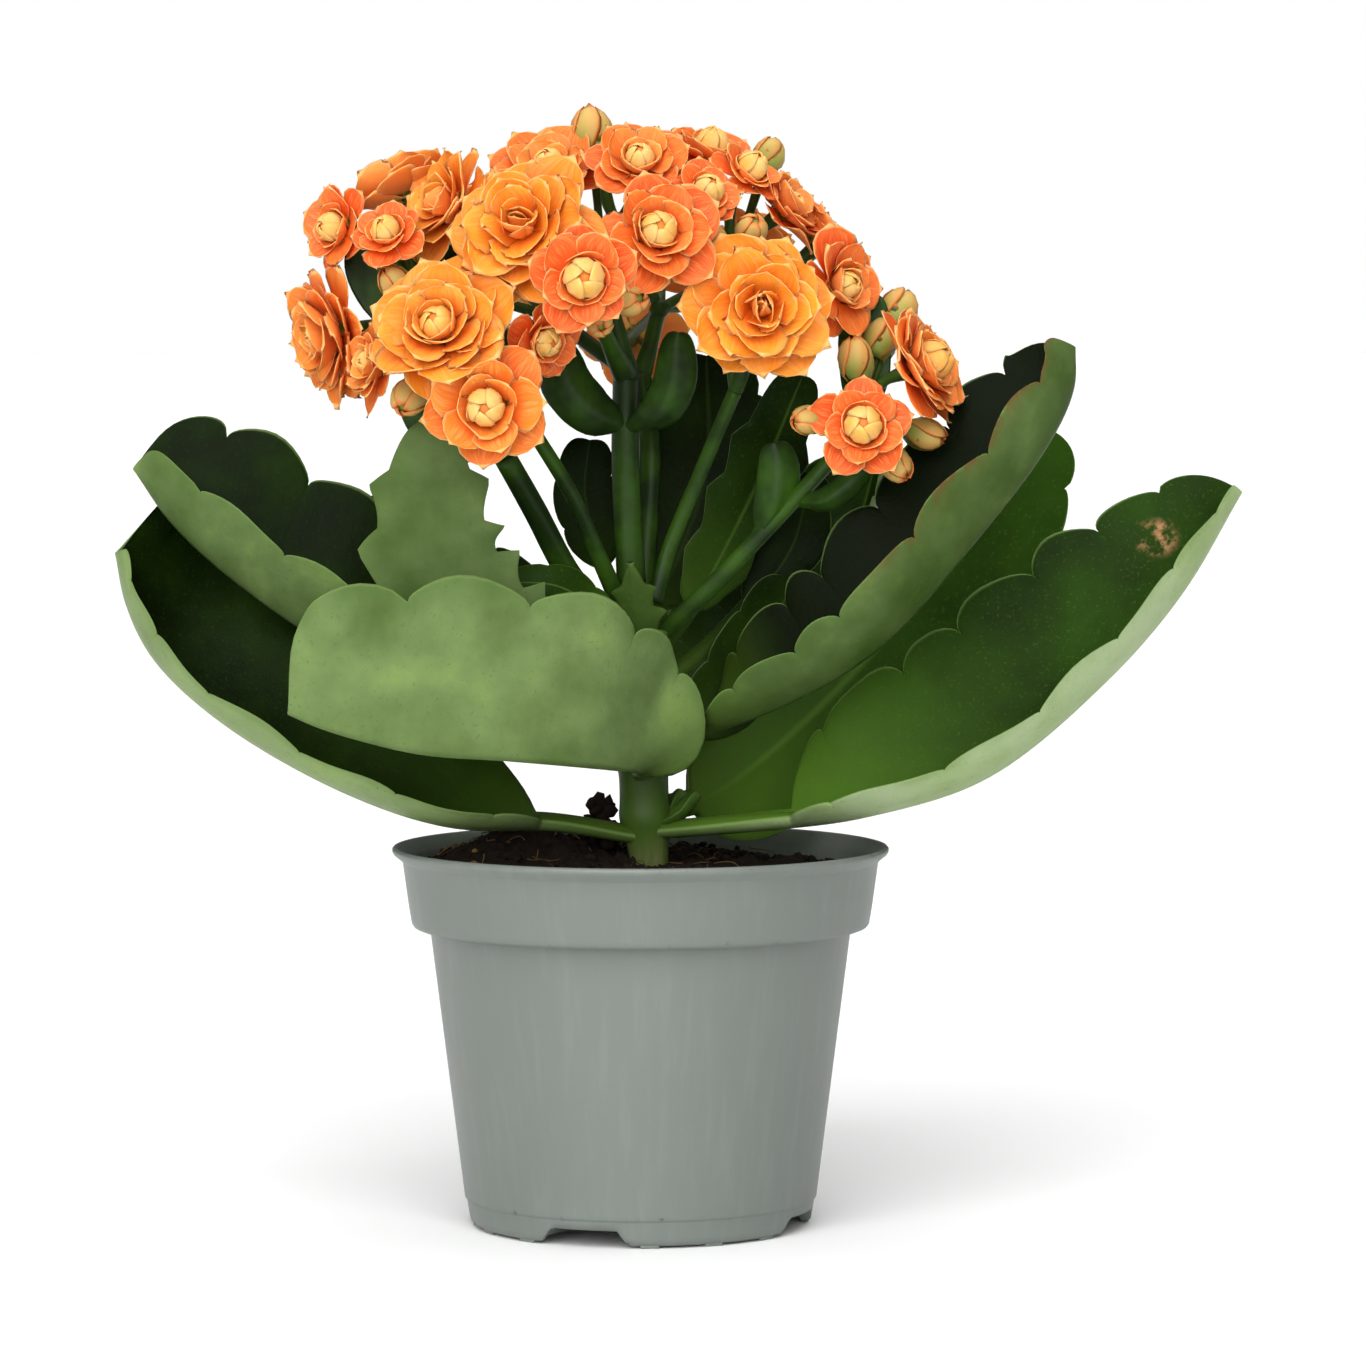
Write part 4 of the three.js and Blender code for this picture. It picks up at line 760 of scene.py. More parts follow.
def leaf_rows(row, each):
    """Places along a leaf, closer together at each notch and at the tip."""
    rows = [row.petiole * k / (2 * each) for k in range(2 * each)]
    bounds = [0.0, *row.notches, 1.0]
    for i, (a, b) in enumerate(zip(bounds, bounds[1:])):
        for k in range(each):
            share = k / each
            if i < len(bounds) - 2:
                blade = mix(a, b, 0.5 - 0.5 * math.cos(math.pi * share))
            else:
                blade = mix(a, b, 1 - (1 - share) ** 1.8)
            rows.append(mix(row.petiole, 1, blade))
    return [*rows, 0.9995]


def grow_leaf(skin, row, around, each, wave, marks=None):
    """Adds one leaf with its stalk: a fleshy blade with round edges."""
    line = SmoothLine(row.rib)
    rows = leaf_rows(row, each)
    along = len(rows) + 1

    def shape(turn, share):
        k = round(share * along)
        t = rows[min(max(k - 1, 0), len(rows) - 1)]
        angle = turn * ROUND
        v, side = math.cos(angle), math.sin(angle)
        v = math.copysign(abs(v) ** MARGIN_ROUND, v)
        if k in (0, along):
            v, side = 0.0, 0.0
        height = side * (1 + 0.35 * (1 - abs(side)))
        hand = 1 if side >= 0 else -1
        point, other = [leaf_point(row, line, t, v, face, wave) for face in (hand, -hand)]
        point = point.lerp((point + other) / 2, 1 - min(1.0, abs(height)))
        away = math.hypot((t - SCAR_AT[0]) * SCAR_SIZE[0], (v - SCAR_AT[1]) * SCAR_SIZE[1])
        scar = max(0.0, 1 - away) if row.name == SCAR_LEAF else 0.0
        dry = row.dry * abs(v) ** 12 * smooth((t - 0.4) * 5) if v < 0 else 0.0
        return point, {"along": t, "across": v, "upper": side, "tone": dry, "spot": scar,
                       "pale": row.light[0] if side >= 0 else row.light[1], **(marks or {})}

    skin.wrap(around, along, shape)


def leaf_finish(look):
    nodes = Nodes("kalanchoe leaf")
    across, along, upper, light, spot, tone = nodes.marks("across", "along", "upper", "pale", "spot", "tone")
    aside = nodes.sum("ABSOLUTE", across)
    cloud, dots = nodes.grain(45.0, 4.0), nodes.grain(1500.0, 1.5, rough=0.5)
    blotch = nodes.grain(230.0, 5.0, rough=0.65)
    # The per-leaf light mark moves the green from near black to pale: partly the leaf's own tone, partly
    # painted shade and a painted sheen.
    patchy = nodes.sum("MULTIPLY_ADD", nodes.sum("SUBTRACT", cloud, 0.5), 0.9, light)
    top = nodes.blend(nodes.ramp(patchy, -0.1, 1.0), "#081002", look.upper)
    for ramp, share, tint in (((aside, 0.0, RIB_WIDTH, 0.55, 0.0), nodes.ramp(light, 0.0, 0.5), "#56752f"),
                              ((dots, 0.6, 0.72, 0.0, 0.5), light, "#466325"),
                              ((along, 0.05, 0.65, 0.85, 0.0), light, "#64902f")):
        top = nodes.blend(nodes.times(nodes.ramp(*ramp), share), top, tint)
    low = nodes.blend(nodes.ramp(patchy, 0.0, 1.25), "#2f4415", look.under)
    # The last coat turns the lightest sides whitish grey green: partly the waxy under side's own tone,
    # partly a painted sheen.
    low = nodes.coats(low, (cloud, 0.55, 0.75, 0.0, 0.45, "#75903c"),
                      (blotch, 0.5, 0.8, 0.0, 0.35, "#526d31"), (dots, 0.64, 0.74, 0.0, 0.45, "#405728"),
                      (aside, 0.8, 0.99, 0.0, 0.3, "#48622f"),
                      (patchy, 0.95, 1.45, 0.0, 0.75, "#a8b596"))
    on_top = nodes.ramp(upper, -0.2, 0.2)
    colour = nodes.coats(nodes.blend(on_top, low, top), (along, 0.05, 0.3, 0.85, 0.0, look.stalk),
                         (aside, 0.975, 0.999, 0.0, 0.45, "#7b9457"))
    colour = nodes.blend(nodes.times(tone, nodes.ramp(blotch, 0.35, 0.55)), colour, "#5a3a22")
    scar = nodes.times(nodes.ramp(spot, 0.1, 0.6), nodes.ramp(blotch, 0.45, 0.6))
    colour = nodes.blend(nodes.times(scar, on_top), colour, "#96704c")
    skin_bump = nodes.bump(nodes.sum("MULTIPLY_ADD", dots, 0.3, blotch), 0.4, 0.0005)
    rough = nodes.ramp(cloud, 0.3, 0.7, 0.36, 0.48)
    return nodes.surface(Base_Color=colour, Roughness=rough, Normal=skin_bump, Subsurface_Weight=0.04,
                         Subsurface_Radius=(0.0012, 0.002, 0.0006), Subsurface_Scale=1.0,
                         Specular_IOR_Level=0.035)


class KALANCHOE_OT_leaves(bpy.types.Operator):
    """Grow every leaf on its stalk, folded and scalloped as a kalanchoe's are"""
    bl_idname = "kalanchoe.leaves"
    bl_label = "Leaves"

    def execute(self, context):
        look = context.scene.kalanchoe_leaves
        finish = leaf_finish(look)
        for row in LEAVES:
            skin = Skin()
            around, each, wave = LARGE_STEPS if row.plus[0] > LARGE_LEAF else SMALL_STEPS
            grow_leaf(skin, row, around, each, look.margin_wave * wave)
            skin.piece(row.name, "leaves", finish)
        return {"FINISHED"}


def stalk_finish(look):
    nodes = Nodes("kalanchoe stalk")
    cloud, streak = nodes.grain(90.0, 3.0), nodes.grain(260.0, 3.0, stretch=(1.0, 1.0, 0.12))
    tone, along, pale, rim = nodes.marks("tone", "along", "pale", "spot")
    colour = nodes.coats(look.stalk, (cloud, 0.3, 0.7, "#324e1a"), (streak, 0.5, 0.8, 0.0, 0.4, "#5a7636"))
    # Tone darkens a stalk towards the leaves' upper green; on the flower stalks that is painted shade from
    # the blooms above.
    colour = nodes.blend(tone, colour, nodes.coats(look.upper, (cloud, 0.3, 0.7, "#14240a")))
    colour = nodes.blend(pale, colour, nodes.coats("#84913f", (along, 0.15, 0.75, "#d2ab62")))
    colour = nodes.blend(rim, colour, "#cc6c34")
    foot = nodes.times(nodes.ramp(nodes.height(), 0.077, 0.086, 0.8, 0.0), nodes.ramp(streak, 0.3, 0.6))
    colour = nodes.blend(foot, colour, "#5b5a3c")
    return nodes.surface(Base_Color=colour, Roughness=0.42, Normal=nodes.bump(streak, 0.25, 0.0005),
                         Specular_IOR_Level=0.16, Subsurface_Weight=0.05,
                         Subsurface_Radius=(0.001, 0.0015, 0.0005), Subsurface_Scale=1.0)


class KALANCHOE_OT_stem(bpy.types.Operator):
    """Grow the main stem with its swellings and its small side shoot"""
    bl_idname = "kalanchoe.stem"
    bl_label = "Stem"

    def execute(self, context):
        skin = Skin()
        tube(skin, STEM_LINE, STEM_RADII, *STEM_STEPS, ridges=0.03)
        line = SmoothLine(STEM_LINE)
        for vert in skin.bm.verts:
            swell = sum(size * math.exp(-((vert.co.z - z) / NODE_REACH) ** 2) for z, size in STEM_NODES)
            centre = line.point((vert.co.z - STEM_FOOT_Z) / (STEM_TOP_Z - STEM_FOOT_Z))
            away = Vector((vert.co.x - centre.x, vert.co.y - centre.y, 0))
            if away.length > 0.5:
                vert.co += away.normalized() * swell
        for rib in SHOOT_RIBS:
            shoot = leaf("shoot", (0.5,), 0.1, (0, 1, 0.3), (3.2, 20, 50), rib)
            grow_leaf(skin, shoot, *SHOOT_STEPS, 0.0, {"tone": 0.0, "upper": 0.0, "pale": 0.0})
        skin.piece("stem", "stalks", stalk_finish(context.scene.kalanchoe_leaves))
        return {"FINISHED"}


# The blooms

def bloom(at, face, radius, kind, tone, heart, pale=1.0):
    """One row of the bloom table. Tone is how young it looks, and heart and pale are its heart's size and
    paleness."""
    return SimpleNamespace(at=Vector(at), face=unit(face), radius=radius, kind=kind, tone=tone,
                           heart=heart, pale=pale)


BLOOMS = [bloom(*row) for row in (
    ((-50, -6, 221), (-0.45, 0.3, 0.85), 13, "open", 0.3, 0.15),
    ((-64, -12, 211), (-0.75, -0.65, 0.15), 10.5, "half", 0.8, 0.26),
    ((-52, -28, 210), (-0.3, -0.75, 0.6), 8.5, "half", 0.85, 0.3),
    ((-41, -22, 216), (-0.75, -0.5, 0.45), 13.5, "open", 0.2, 0.0, 0.3),
    ((-24, -37, 211), (-0.25, -0.9, 0.35), 16.5, "flame", 0.1, 0.0, 0.2),
    ((-66, -12, 188), (-0.85, -0.4, -0.2), 15.5, "full", 0.5, 0.0, 0.2),
    ((-41, -43, 191), (-0.25, -0.85, 0.45), 16.5, "full", 0.15, 0.2, 0.7),
    ((-31, -48, 174), (-0.05, -1, -0.05), 13.5, "half", 0.5, 0.26),
    ((-11, -51, 200), (0.05, -1, 0.05), 11.5, "half", 0.9, 0.33),
    ((4, -37, 210), (0.15, -0.95, 0.25), 13.5, "half", 0.75, 0.25),
    ((0, -20, 225), (0.05, -0.75, 0.65), 11.5, "open", 0.75, 0.24),
    ((-19, -15, 224), (-0.1, -0.6, 0.8), 13.5, "open", 0.7, 0.22),
    ((-19, -36, 187), (0.5, -0.85, -0.1), 9, "half", 0.85, 0.28),
    ((-56, -26, 183), (-0.8, -0.4, 0.1), 10.5, "open", 0.6, 0.2),
    ((14, -24, 218), (0.35, -0.75, 0.55), 8.5, "half", 0.85, 0.34),
    ((15, 0, 228), (0.2, -0.3, 0.9), 11.5, "open", 0.9, 0.28),
    ((23, -12, 223), (0.5, -0.5, 0.7), 8, "half", 0.7, 0.36),
    ((25, -36, 194), (0.1, -0.98, 0.1), 16, "slit", 0.08, 0.0, 0.1),
    ((32, -5, 216), (0.75, -0.3, 0.6), 11.5, "open", 0.95, 0.2),
    ((40, 4, 209), (0.8, 0.1, 0.6), 12, "open", 0.6, 0.2),
    ((43, -15, 199), (0.75, -0.65, 0.1), 12, "half", 0.75, 0.22),
    ((60, -20, 183), (0.85, -0.35, 0.4), 14, "full", 0.6, 0.28, 0.6),
    ((46, -29, 170), (0, -0.98, 0.15), 11, "half", 0.9, 0.32),
    ((-50, 14, 204), (-0.75, 0.5, 0.45), 11, "open", 0.6, 0.2),
    ((-34, 20, 217), (-0.4, 0.5, 0.8), 11.5, "half", 0.8, 0.3),
    ((-8, 16, 227), (-0.05, 0.35, 0.9), 12, "open", 0.3, 0.15),
    ((-20, 38, 206), (-0.25, 0.85, 0.45), 13.5, "open", 0.15, 0.15),
    ((6, 36, 208), (0.15, 0.85, 0.5), 11.5, "half", 0.85, 0.3),
    ((25, 22, 208), (0.55, 0.6, 0.55), 11.5, "open", 0.5, 0.2),
    ((-42, 32, 188), (-0.65, 0.75, 0.05), 12, "open", 0.7, 0.2),
    ((-2, 44, 188), (0.05, 1, 0), 12.5, "open", 0.25, 0.15),
)]

HEART_DEPTH = 0.3
ROOT_RADIUS = 1.6
STEEPEST = 88
RISE_STEP = 5
LENGTH_STEP = 0.94
LOOSENESS = 3.0
NEAR = 1.4
PETAL_AROUND = 10
PETAL_STATIONS = (0, 0, 0.2, 0.42, 0.62, 0.8, 0.93, 1.0, 1.08)
PETAL_ALONG = len(PETAL_STATIONS) - 1
PETAL_CORNERS = ((1.0, 0), (0.85, 0.8), (0.85, -0.8), (0.6, 1), (0.6, -1))
PETAL_ROOT_WIDTH = 0.34
PETAL_TIP_WIDTH = 0.16
PETAL_TIP_THICKNESS = 0.55
TIP_RISE = 0.08
RIPPLES = 5
WHORL_TURN = 0.47
CORE_RADII = (2.4, 2.4, 1.4)
CORE_MARKS = {"tone": 0.3, "pale": 0.4, "upper": -1.0}
WRAPS = 5
WRAP_FOOT, WRAP_TIP, WRAP_HALF = 150, 14, 66
SEPALS = 4
BLOOM_SEED = 100

# For each whorl: petals, length, root height, rise and curl in degrees, half width as a share of length
OUTER_WHORLS = [(6, 1.0, 0.0, 0, 8, 0.46), (6, 0.95, 0.05, 9, 12, 0.46), (6, 0.84, 0.09, 19, 16, 0.48)]
WHORLS = {
    "full": OUTER_WHORLS + [(5, 0.74, 0.13, 31, 18, 0.52), (5, 0.62, 0.16, 45, 22, 0.54),
                            (4, 0.52, 0.18, 60, 26, 0.56), (3, 0.44, 0.19, 74, 34, 0.56)],
    "flame": OUTER_WHORLS + [(5, 0.76, 0.12, 31, 18, 0.52), (4, 0.68, 0.14, 42, 26, 0.58),
                             (4, 0.58, 0.16, 58, 34, 0.5), (2, 0.5, 0.17, 80, 38, 0.4)],
    "slit": OUTER_WHORLS + [(5, 0.74, 0.13, 31, 18, 0.52), (5, 0.62, 0.16, 44, 24, 0.54),
                            (4, 0.56, 0.17, 60, 34, 0.5), (3, 0.54, 0.17, 80, 36, 0.36)],
    "open": [(6, 1.0, 0.0, 2, 12, 0.46), (6, 0.9, 0.06, 14, 18, 0.47), (5, 0.76, 0.11, 28, 24, 0.52),
             (5, 0.6, 0.16, 46, 30, 0.56), (4, 0.48, 0.2, 64, 40, 0.6)],
    "half": [(5, 1.0, 0.0, 4, 12, 0.5), (5, 0.9, 0.06, 18, 18, 0.5), (5, 0.66, 0.12, 40, 36, 0.58),
             (4, 0.56, 0.15, 58, 44, 0.62)],
}


def bloom_base(row):
    return row.at - row.face * (HEART_DEPTH * row.radius)


def neighbours(row):
    """Planes halfway to the blooms round one: direction and share of the way, in millimetres."""
    planes = []
    for other in BLOOMS:
        between = other.at - row.at
        distance, both = between.length, row.radius + other.radius
        if 0 < distance < NEAR * both:
            planes.append((between / distance, distance * row.radius / both + LOOSENESS))
    return planes


def petal_line(petal, share):
    """Distance from the axis and height of a petal's midline, and its slope there."""
    bend = petal.curl if abs(petal.curl) > 1e-4 else 1e-4
    slope, reach = petal.rise + bend * share, petal.length / bend
    distance = petal.root + reach * (math.sin(slope) - math.sin(petal.rise))
    return distance, petal.height + reach * (math.cos(petal.rise) - math.cos(slope)), slope


def petal_outline(share, width):
    """Half width of a petal: narrow at its root, broad and round near its end."""
    if share >= 1:
        return 0.0
    widening = PETAL_ROOT_WIDTH + (1 - PETAL_ROOT_WIDTH) * smooth(share * 1.45)
    return width * widening * (1 - share ** 4.5) ** 0.55


def grow_petal(skin, base, axis, out, petal, marks, thickness):
    """Adds one petal from its root, height, rise, curl, length, width, cup, twist and ripple."""
    aside = axis.cross(out)

    def shape(turn, share):
        row = round(share * PETAL_ALONG)
        s = PETAL_STATIONS[row]
        v, side = level_spot(1, turn * ROUND)
        distance, height, slope = petal_line(petal, s)
        wide = petal_outline(s, petal.width) if row > 0 else 0.0
        if row == PETAL_ALONG - 1:
            wide = PETAL_TIP_WIDTH * petal.width
        cup = wide * v / petal.cup
        along = out * math.cos(slope) + axis * math.sin(slope)
        above = axis * math.cos(slope) - out * math.sin(slope)
        point = base + out * distance + axis * height
        point += aside * (petal.cup * math.sin(cup)) + above * (petal.cup * (1 - math.cos(cup)))
        point += above * (petal.twist * wide * v * s) + along * (TIP_RISE * wide * (1 - v * v))
        point += above * (petal.ripple * petal.length * v * v * math.sin(RIPPLES * s + petal.phase + v))
        thick = thickness * mix(1.0, PETAL_TIP_THICKNESS, s) if 0 < row < PETAL_ALONG else 0.0
        point += above * (thick / 2 * side)
        rim = max(abs(v) ** 7, smooth((s - 0.86) / 0.14) * 0.9) if row else 0.0
        return point, {"along": s, "across": v, "upper": side, "spot": rim, **marks}

    skin.wrap(PETAL_AROUND, PETAL_ALONG, shape)


def clear_of(planes, row, petal, out):
    """Whether a petal keeps to its bloom's side of the planes round it."""
    base, aside = bloom_base(row), row.face.cross(out)
    for s, v in PETAL_CORNERS:
        distance, height, _ = petal_line(petal, s)
        wide = petal_outline(min(s, 0.99), petal.width) * v
        point = base + out * distance + row.face * height + aside * wide - row.at
        if any(point.dot(way) > share for way, share in planes):
            return False
    return True


def grow_ball(skin, base, axis, size, stretch, twist, draw, marks, thickness):
    """Adds the shut heart of a bloom or the body of a bud: petals wrapped round a ball."""
    middle = base + axis * (size * stretch * 0.8)
    skin.lump(middle, (size * 0.92, size * 0.92, size * stretch * 0.95), facing(axis), 2, 0.0, marks)
    start = draw.uniform(0, 6)
    for i in range(WRAPS):
        centre = start + i * ROUND / WRAPS
        open_tip = draw.uniform(0.02, 0.16)

        def shape(turn, share, centre=centre, open_tip=open_tip):
            row = round(share * PETAL_ALONG)
            s = clamp01((row - 1) / (PETAL_ALONG - 2))
            v, side = level_spot(1, turn * ROUND) if 0 < row < PETAL_ALONG else (0.0, 0.0)
            polar = mix(WRAP_FOOT, WRAP_TIP, s) * DEG
            half = WRAP_HALF * DEG * mix(0.6, 1.0, smooth(2 * s)) * (1 - 0.7 * clamp01((s - 0.7) / 0.3) ** 2)
            lift = 1.04 + 0.1 * v + open_tip * s ** 4 + side * thickness / 2 / size
            out = outward(axis, centre + v * half + twist * s)
            point = middle + axis * (size * stretch * lift * math.cos(polar))
            rim = max(abs(v) ** 5, smooth((s - 0.85) / 0.15)) if row else 0.0
            return point + out * (size * lift * math.sin(polar)), {"along": s, "across": v, "upper": side,
                                                                   "spot": rim, **marks}

        skin.wrap(PETAL_AROUND, PETAL_ALONG, shape)


def grow_bloom(skin, row, number, look):
    draw = random.Random(BLOOM_SEED + number)
    base, axis, radius = bloom_base(row), row.face, row.radius
    planes, thickness = neighbours(row), look.petal_thickness
    start = draw.uniform(0, 6)
    whorls = WHORLS[row.kind]
    heart = row.heart * radius
    if row.kind != "half" and heart:
        whorls = whorls[:-1]
    for layer, (count, length, height, rise, curl, width) in enumerate(whorls):
        inner = layer / (len(whorls) - 1)
        for i in range(count):
            angle = start + (i + layer * WHORL_TURN) * ROUND / count + draw.uniform(-0.12, 0.12)
            out = outward(axis, angle)
            long = length * radius * draw.uniform(0.88, 1.08)
            broad = width * long * draw.uniform(0.9, 1.1)
            root = max(ROOT_RADIUS * (1 - 0.06 * layer), 0.85 * heart * smooth(layer / 2))
            petal = SimpleNamespace(
                root=root, height=height * radius, rise=(rise + draw.uniform(-7, 9)) * DEG,
                curl=(curl + draw.uniform(-9, 10)) * DEG, length=long - root, width=broad,
                cup=mix(2.0, 0.8, rise / 80) * broad, twist=draw.uniform(-0.28, 0.28),
                ripple=draw.uniform(0.03, 0.1), phase=draw.uniform(0, 6))
            lowest = petal.rise
            while not clear_of(planes, row, petal, out):
                petal.rise += RISE_STEP * DEG
                if petal.rise + petal.curl * 0.6 > STEEPEST * DEG:
                    petal.rise = lowest
                    petal.length *= LENGTH_STEP
            tone = clamp01(row.tone + 0.3 * (1 - inner) - 0.1 + draw.uniform(-0.08, 0.08))
            grow_petal(skin, base, axis, out, petal, {"tone": tone, "pale": 0.35 * inner ** 2 * row.pale},
                       thickness)
    skin.lump(base + axis * 0.6, CORE_RADII, facing(axis), 2, 0.0, CORE_MARKS)
    if heart:
        grow_ball(skin, base + axis * (0.12 * radius), axis, heart, 1.0, 0.4, draw,
                  {"tone": row.tone * 0.3, "pale": row.pale * 0.9}, thickness)


def petal_finish(look):
    nodes = Nodes("kalanchoe petal")
    along, across, upper, tone, pale, rim = nodes.marks("along", "across", "upper", "tone", "pale", "spot")
    cloud = nodes.grain(240.0, 3.0)
    strand = nodes.add("ShaderNodeCombineXYZ", {"X": nodes.times(across, 9.0), "Y": nodes.times(along, 1.3),
                                                "Z": tone})
    streak = nodes.add("ShaderNodeTexNoise", {"Vector": strand, "Scale": 1.6, "Detail": 3.0}, output="Fac")
    # Petals deepen to red orange towards their roots: partly the petal's own colour, partly painted shade
    # where the whorls overlap.
    colour = nodes.coats(nodes.blend(tone, look.ripe, look.young), (along, 0.2, 0.85, 0.7, 0.0, "#dc4a08"))
    light_side = nodes.times(nodes.ramp(streak, 0.4, 0.7, 0.0, 0.6), nodes.ramp(along, 0.3, 0.7))
    colour = nodes.blend(light_side, colour, "#f29c58")
    colour = nodes.coats(colour, (cloud, 0.45, 0.75, 0.0, 0.3, "#ec7a34"))
    back = nodes.blend(nodes.times(tone, 0.45), look.back, look.young)
    back = nodes.coats(back, (along, 0.0, 0.35, 0.6, 0.0, "#a8a045"))
    colour = nodes.blend(nodes.ramp(upper, -0.3, 0.1), back, colour)
    heart = nodes.coats(look.heart, (cloud, 0.35, 0.7, "#dda850"), (along, 0.0, 0.6, 0.75, 0.0, "#d6701e"))
    colour = nodes.coats(nodes.blend(pale, colour, heart), (rim, 0.5, 1.0, 0.0, 0.7, "#f6bf78"))
    return nodes.surface(Base_Color=colour, Roughness=0.55, Normal=nodes.bump(streak, 0.25, 0.0004),
                         Subsurface_Weight=0.3, Subsurface_Radius=(0.002, 0.001, 0.0004),
                         Subsurface_Scale=1.0, Specular_IOR_Level=0.2)


class KALANCHOE_OT_blooms(bpy.types.Operator):
    """Grow every bloom with its whorls of petals and its closed heart"""
    bl_idname = "kalanchoe.blooms"
    bl_label = "Blooms"

    def execute(self, context):
        look = context.scene.kalanchoe_blooms
        finish = petal_finish(look)
        for number, row in enumerate(BLOOMS, 1):
            skin = Skin()
            grow_bloom(skin, row, number, look)
            skin.piece(f"bloom_{number:02d}", "petals", finish)
        return {"FINISHED"}


# The flower stalks

STALK_AROUND = 16
THIN_AROUND = 8
FORK_RADII = (1.7, 1.6)
FORK_LUMP = (2.3, 2.3, 2.3)
PEDICEL_RADII = (1.2, 1.1, 1.1, 1.9)
BUD_STALK_RADII = (1.0, 0.85, 1.2)
SAG = Vector((0, 0, -0.8))
BUD_SAG = Vector((0, 0, -0.6))
SPRAY_SEED = 500
BRACT_STEPS = (20, 12, 0.2)
STALK_RIDGES = 0.05
# Flower stalks, their forks and fork lumps are darkened almost to the leaves' upper green: painted shade
# under the dome of blooms.
DARK = {"tone": 0.95}
BRACT_MARKS = {"tone": 1.0, "upper": 0.0, "pale": 0.0, "spot": 0.0}
OPEN_UP, OPEN_BACK = (0.3, 0.8, 0.5), (0, 1, 0.3)


def bract(across, face, width, rib):
    return leaf("bract", (0.5,), 0.05, across, (width, 10, 30), rib, face=face, depth=0.03)


def spray(name, stalk, radii, forks, bracts=()):
    """One row of the spray table. A fork holds its place, its blooms and its buds with their sizes."""
    return SimpleNamespace(**locals())


SPRAYS = [
    spray("spray_centre", [(-2.1, -0.2, STEM_TOP_Z + 0.3), (-3, -2, 160), (-3, -4, 180)], [3.1, 2.8],
          [((-10, -22, 196), (5, 9, 10), [(-2, -36, 196, 4.2), (-8, -38, 191, 3.2)]),
           ((-8, -10, 206), (11, 12), [(-10, -6, 230, 5.4)])],
          [bract((0.4, 0, 1), OPEN_UP, 6, [(-3, -4, 170), (-9, -9, 172), (-15, -11, 178), (-18, -11, 187)]),
           bract((1, 0, -0.3), (-0.3, 0.8, 0.5), 5,
                 [(-3, -4, 169), (3, -9, 171), (7, -12, 178), (8, -13, 189)])]),
    spray("spray_left", [(-4, -4, 131), (-9, -9, 143), (-14, -14, 155), (-23, -20, 170)], [2, 1.6, 1.5],
          [((-26, -22, 180), (4, 7, 8, 13), [])]),
    spray("spray_far_left", [(-5, 0, 127), (-14, -4, 137), (-22, -12, 152), (-28, -20, 163)],
          [2.6, 2.6, 2.4],
          [((-40, -18, 186), (2, 3, 6, 14, 1), [(-47, -34, 176, 4.4), (-50, -26, 199, 4)])],
          [bract((0.4, 0, 1), OPEN_UP, 5,
                 [(-29, -19, 166), (-36, -22, 166), (-43, -24, 170), (-48, -24, 176)]),
           bract((0.5, 0, 0.6), (0.3, -1, 0.2), 8,
                 [(-39, -17, 185), (-46, -13, 192), (-53, -10, 200), (-58, -9, 208)]),
           bract((0.8, 0, 0.3), (0.2, -1, 0.2), 8,
                 [(-40, -16, 186), (-40, -10, 196), (-38, -8, 205), (-36, -8, 213)])]),
    spray("spray_right", [(3, 0, 132), (6, 1, 143), (13, -2, 160), (20, -9, 177)], [1.8, 1.6, 1.5],
          [((22, -12, 184), (18, 21), [(16, -26, 208, 2.6)]),
           ((18, -8, 200), (15, 16, 17, 19, 20), [(23, -24, 210, 3.8), (27, 8, 226, 4)])]),
    spray("spray_far_right", [(3, -2, 124), (19, -8, 140), (34, -13, 156), (42, -15, 165)], [2, 1.8, 1.6],
          [((46, -15, 171), (22, 23), [(45, -15, 183, 4.4), (50, -7, 187, 4.6), (35, -24, 171, 3.6),
                                       (53, -22, 162, 3.8), (59, -17, 168, 4), (54, -3, 193, 5)])],
          [bract((1, 0, 0), OPEN_BACK, 5, [(25, -10, 147), (28, -13, 153), (29, -14, 161), (28, -14, 166)]),
           bract((-0.4, 0, 1), OPEN_BACK, 3,
                 [(33, -12, 154), (38, -16, 154), (43, -18, 157), (48, -18, 162)]),
           bract((1, 0, 0), BACKWARD, 6, [(46, -14, 171), (47, -9, 179), (47, -6, 188), (48, -6, 197)])]),
    spray("spray_back", [(0, 3, 129), (1, 8, 143), (2, 10, 165), (0, 13, 180)], [2.4, 2.4, 2.2],
          [((-18, 14, 192), (24, 25, 27, 30), [(-30, 26, 202, 4)]),
           ((4, 14, 194), (26, 28, 29, 31), [(16, 30, 196, 4)])]),
]


def grow_sepals(skin, base, axis, size, marks):
    """Adds four narrow green sepals that hold a bloom's or a bud's foot."""
    petal = SimpleNamespace(root=0.25 * size, height=-0.1 * size, rise=38 * DEG, curl=34 * DEG,
                            length=1.15 * size, width=0.34 * size, cup=0.8 * size, twist=0.0,
                            ripple=0.0, phase=0.0)
    for i in range(SEPALS):
        grow_petal(skin, base, axis, outward(axis, i * math.pi / 2 + 0.4), petal, marks, 0.5)


def grow_bud(skin, fork, place, size, draw):
    """Adds a closed bud on its thin stalk, with its sepals and wrapped petals."""
    way = (place - fork).normalized()
    foot = place - way * (0.8 * size)
    tube(skin, [fork, fork.lerp(foot, 0.5) + BUD_SAG, foot], BUD_STALK_RADII, THIN_AROUND, 12)
    grow_sepals(skin, foot - way * 0.2, way, size * 0.95, {"tone": 0.3})
    grow_ball(skin, foot, way, size * 0.78, 1.3, 0.7, draw, {"tone": 0.0, "pale": 0.8}, 0.45)


def grow_pedicel(skin, fork, flower):
    """Adds the thin stalk and the sepals of one bloom."""
    base, axis = bloom_base(flower), flower.face
    line = [fork, base - axis * (0.5 * flower.radius), base - axis * 0.3]
    tube(skin, line, PEDICEL_RADII, THIN_AROUND, 14, {"tone": 0.3})
    grow_sepals(skin, base - axis * 0.8, axis, 0.42 * flower.radius, {"tone": 0.2})


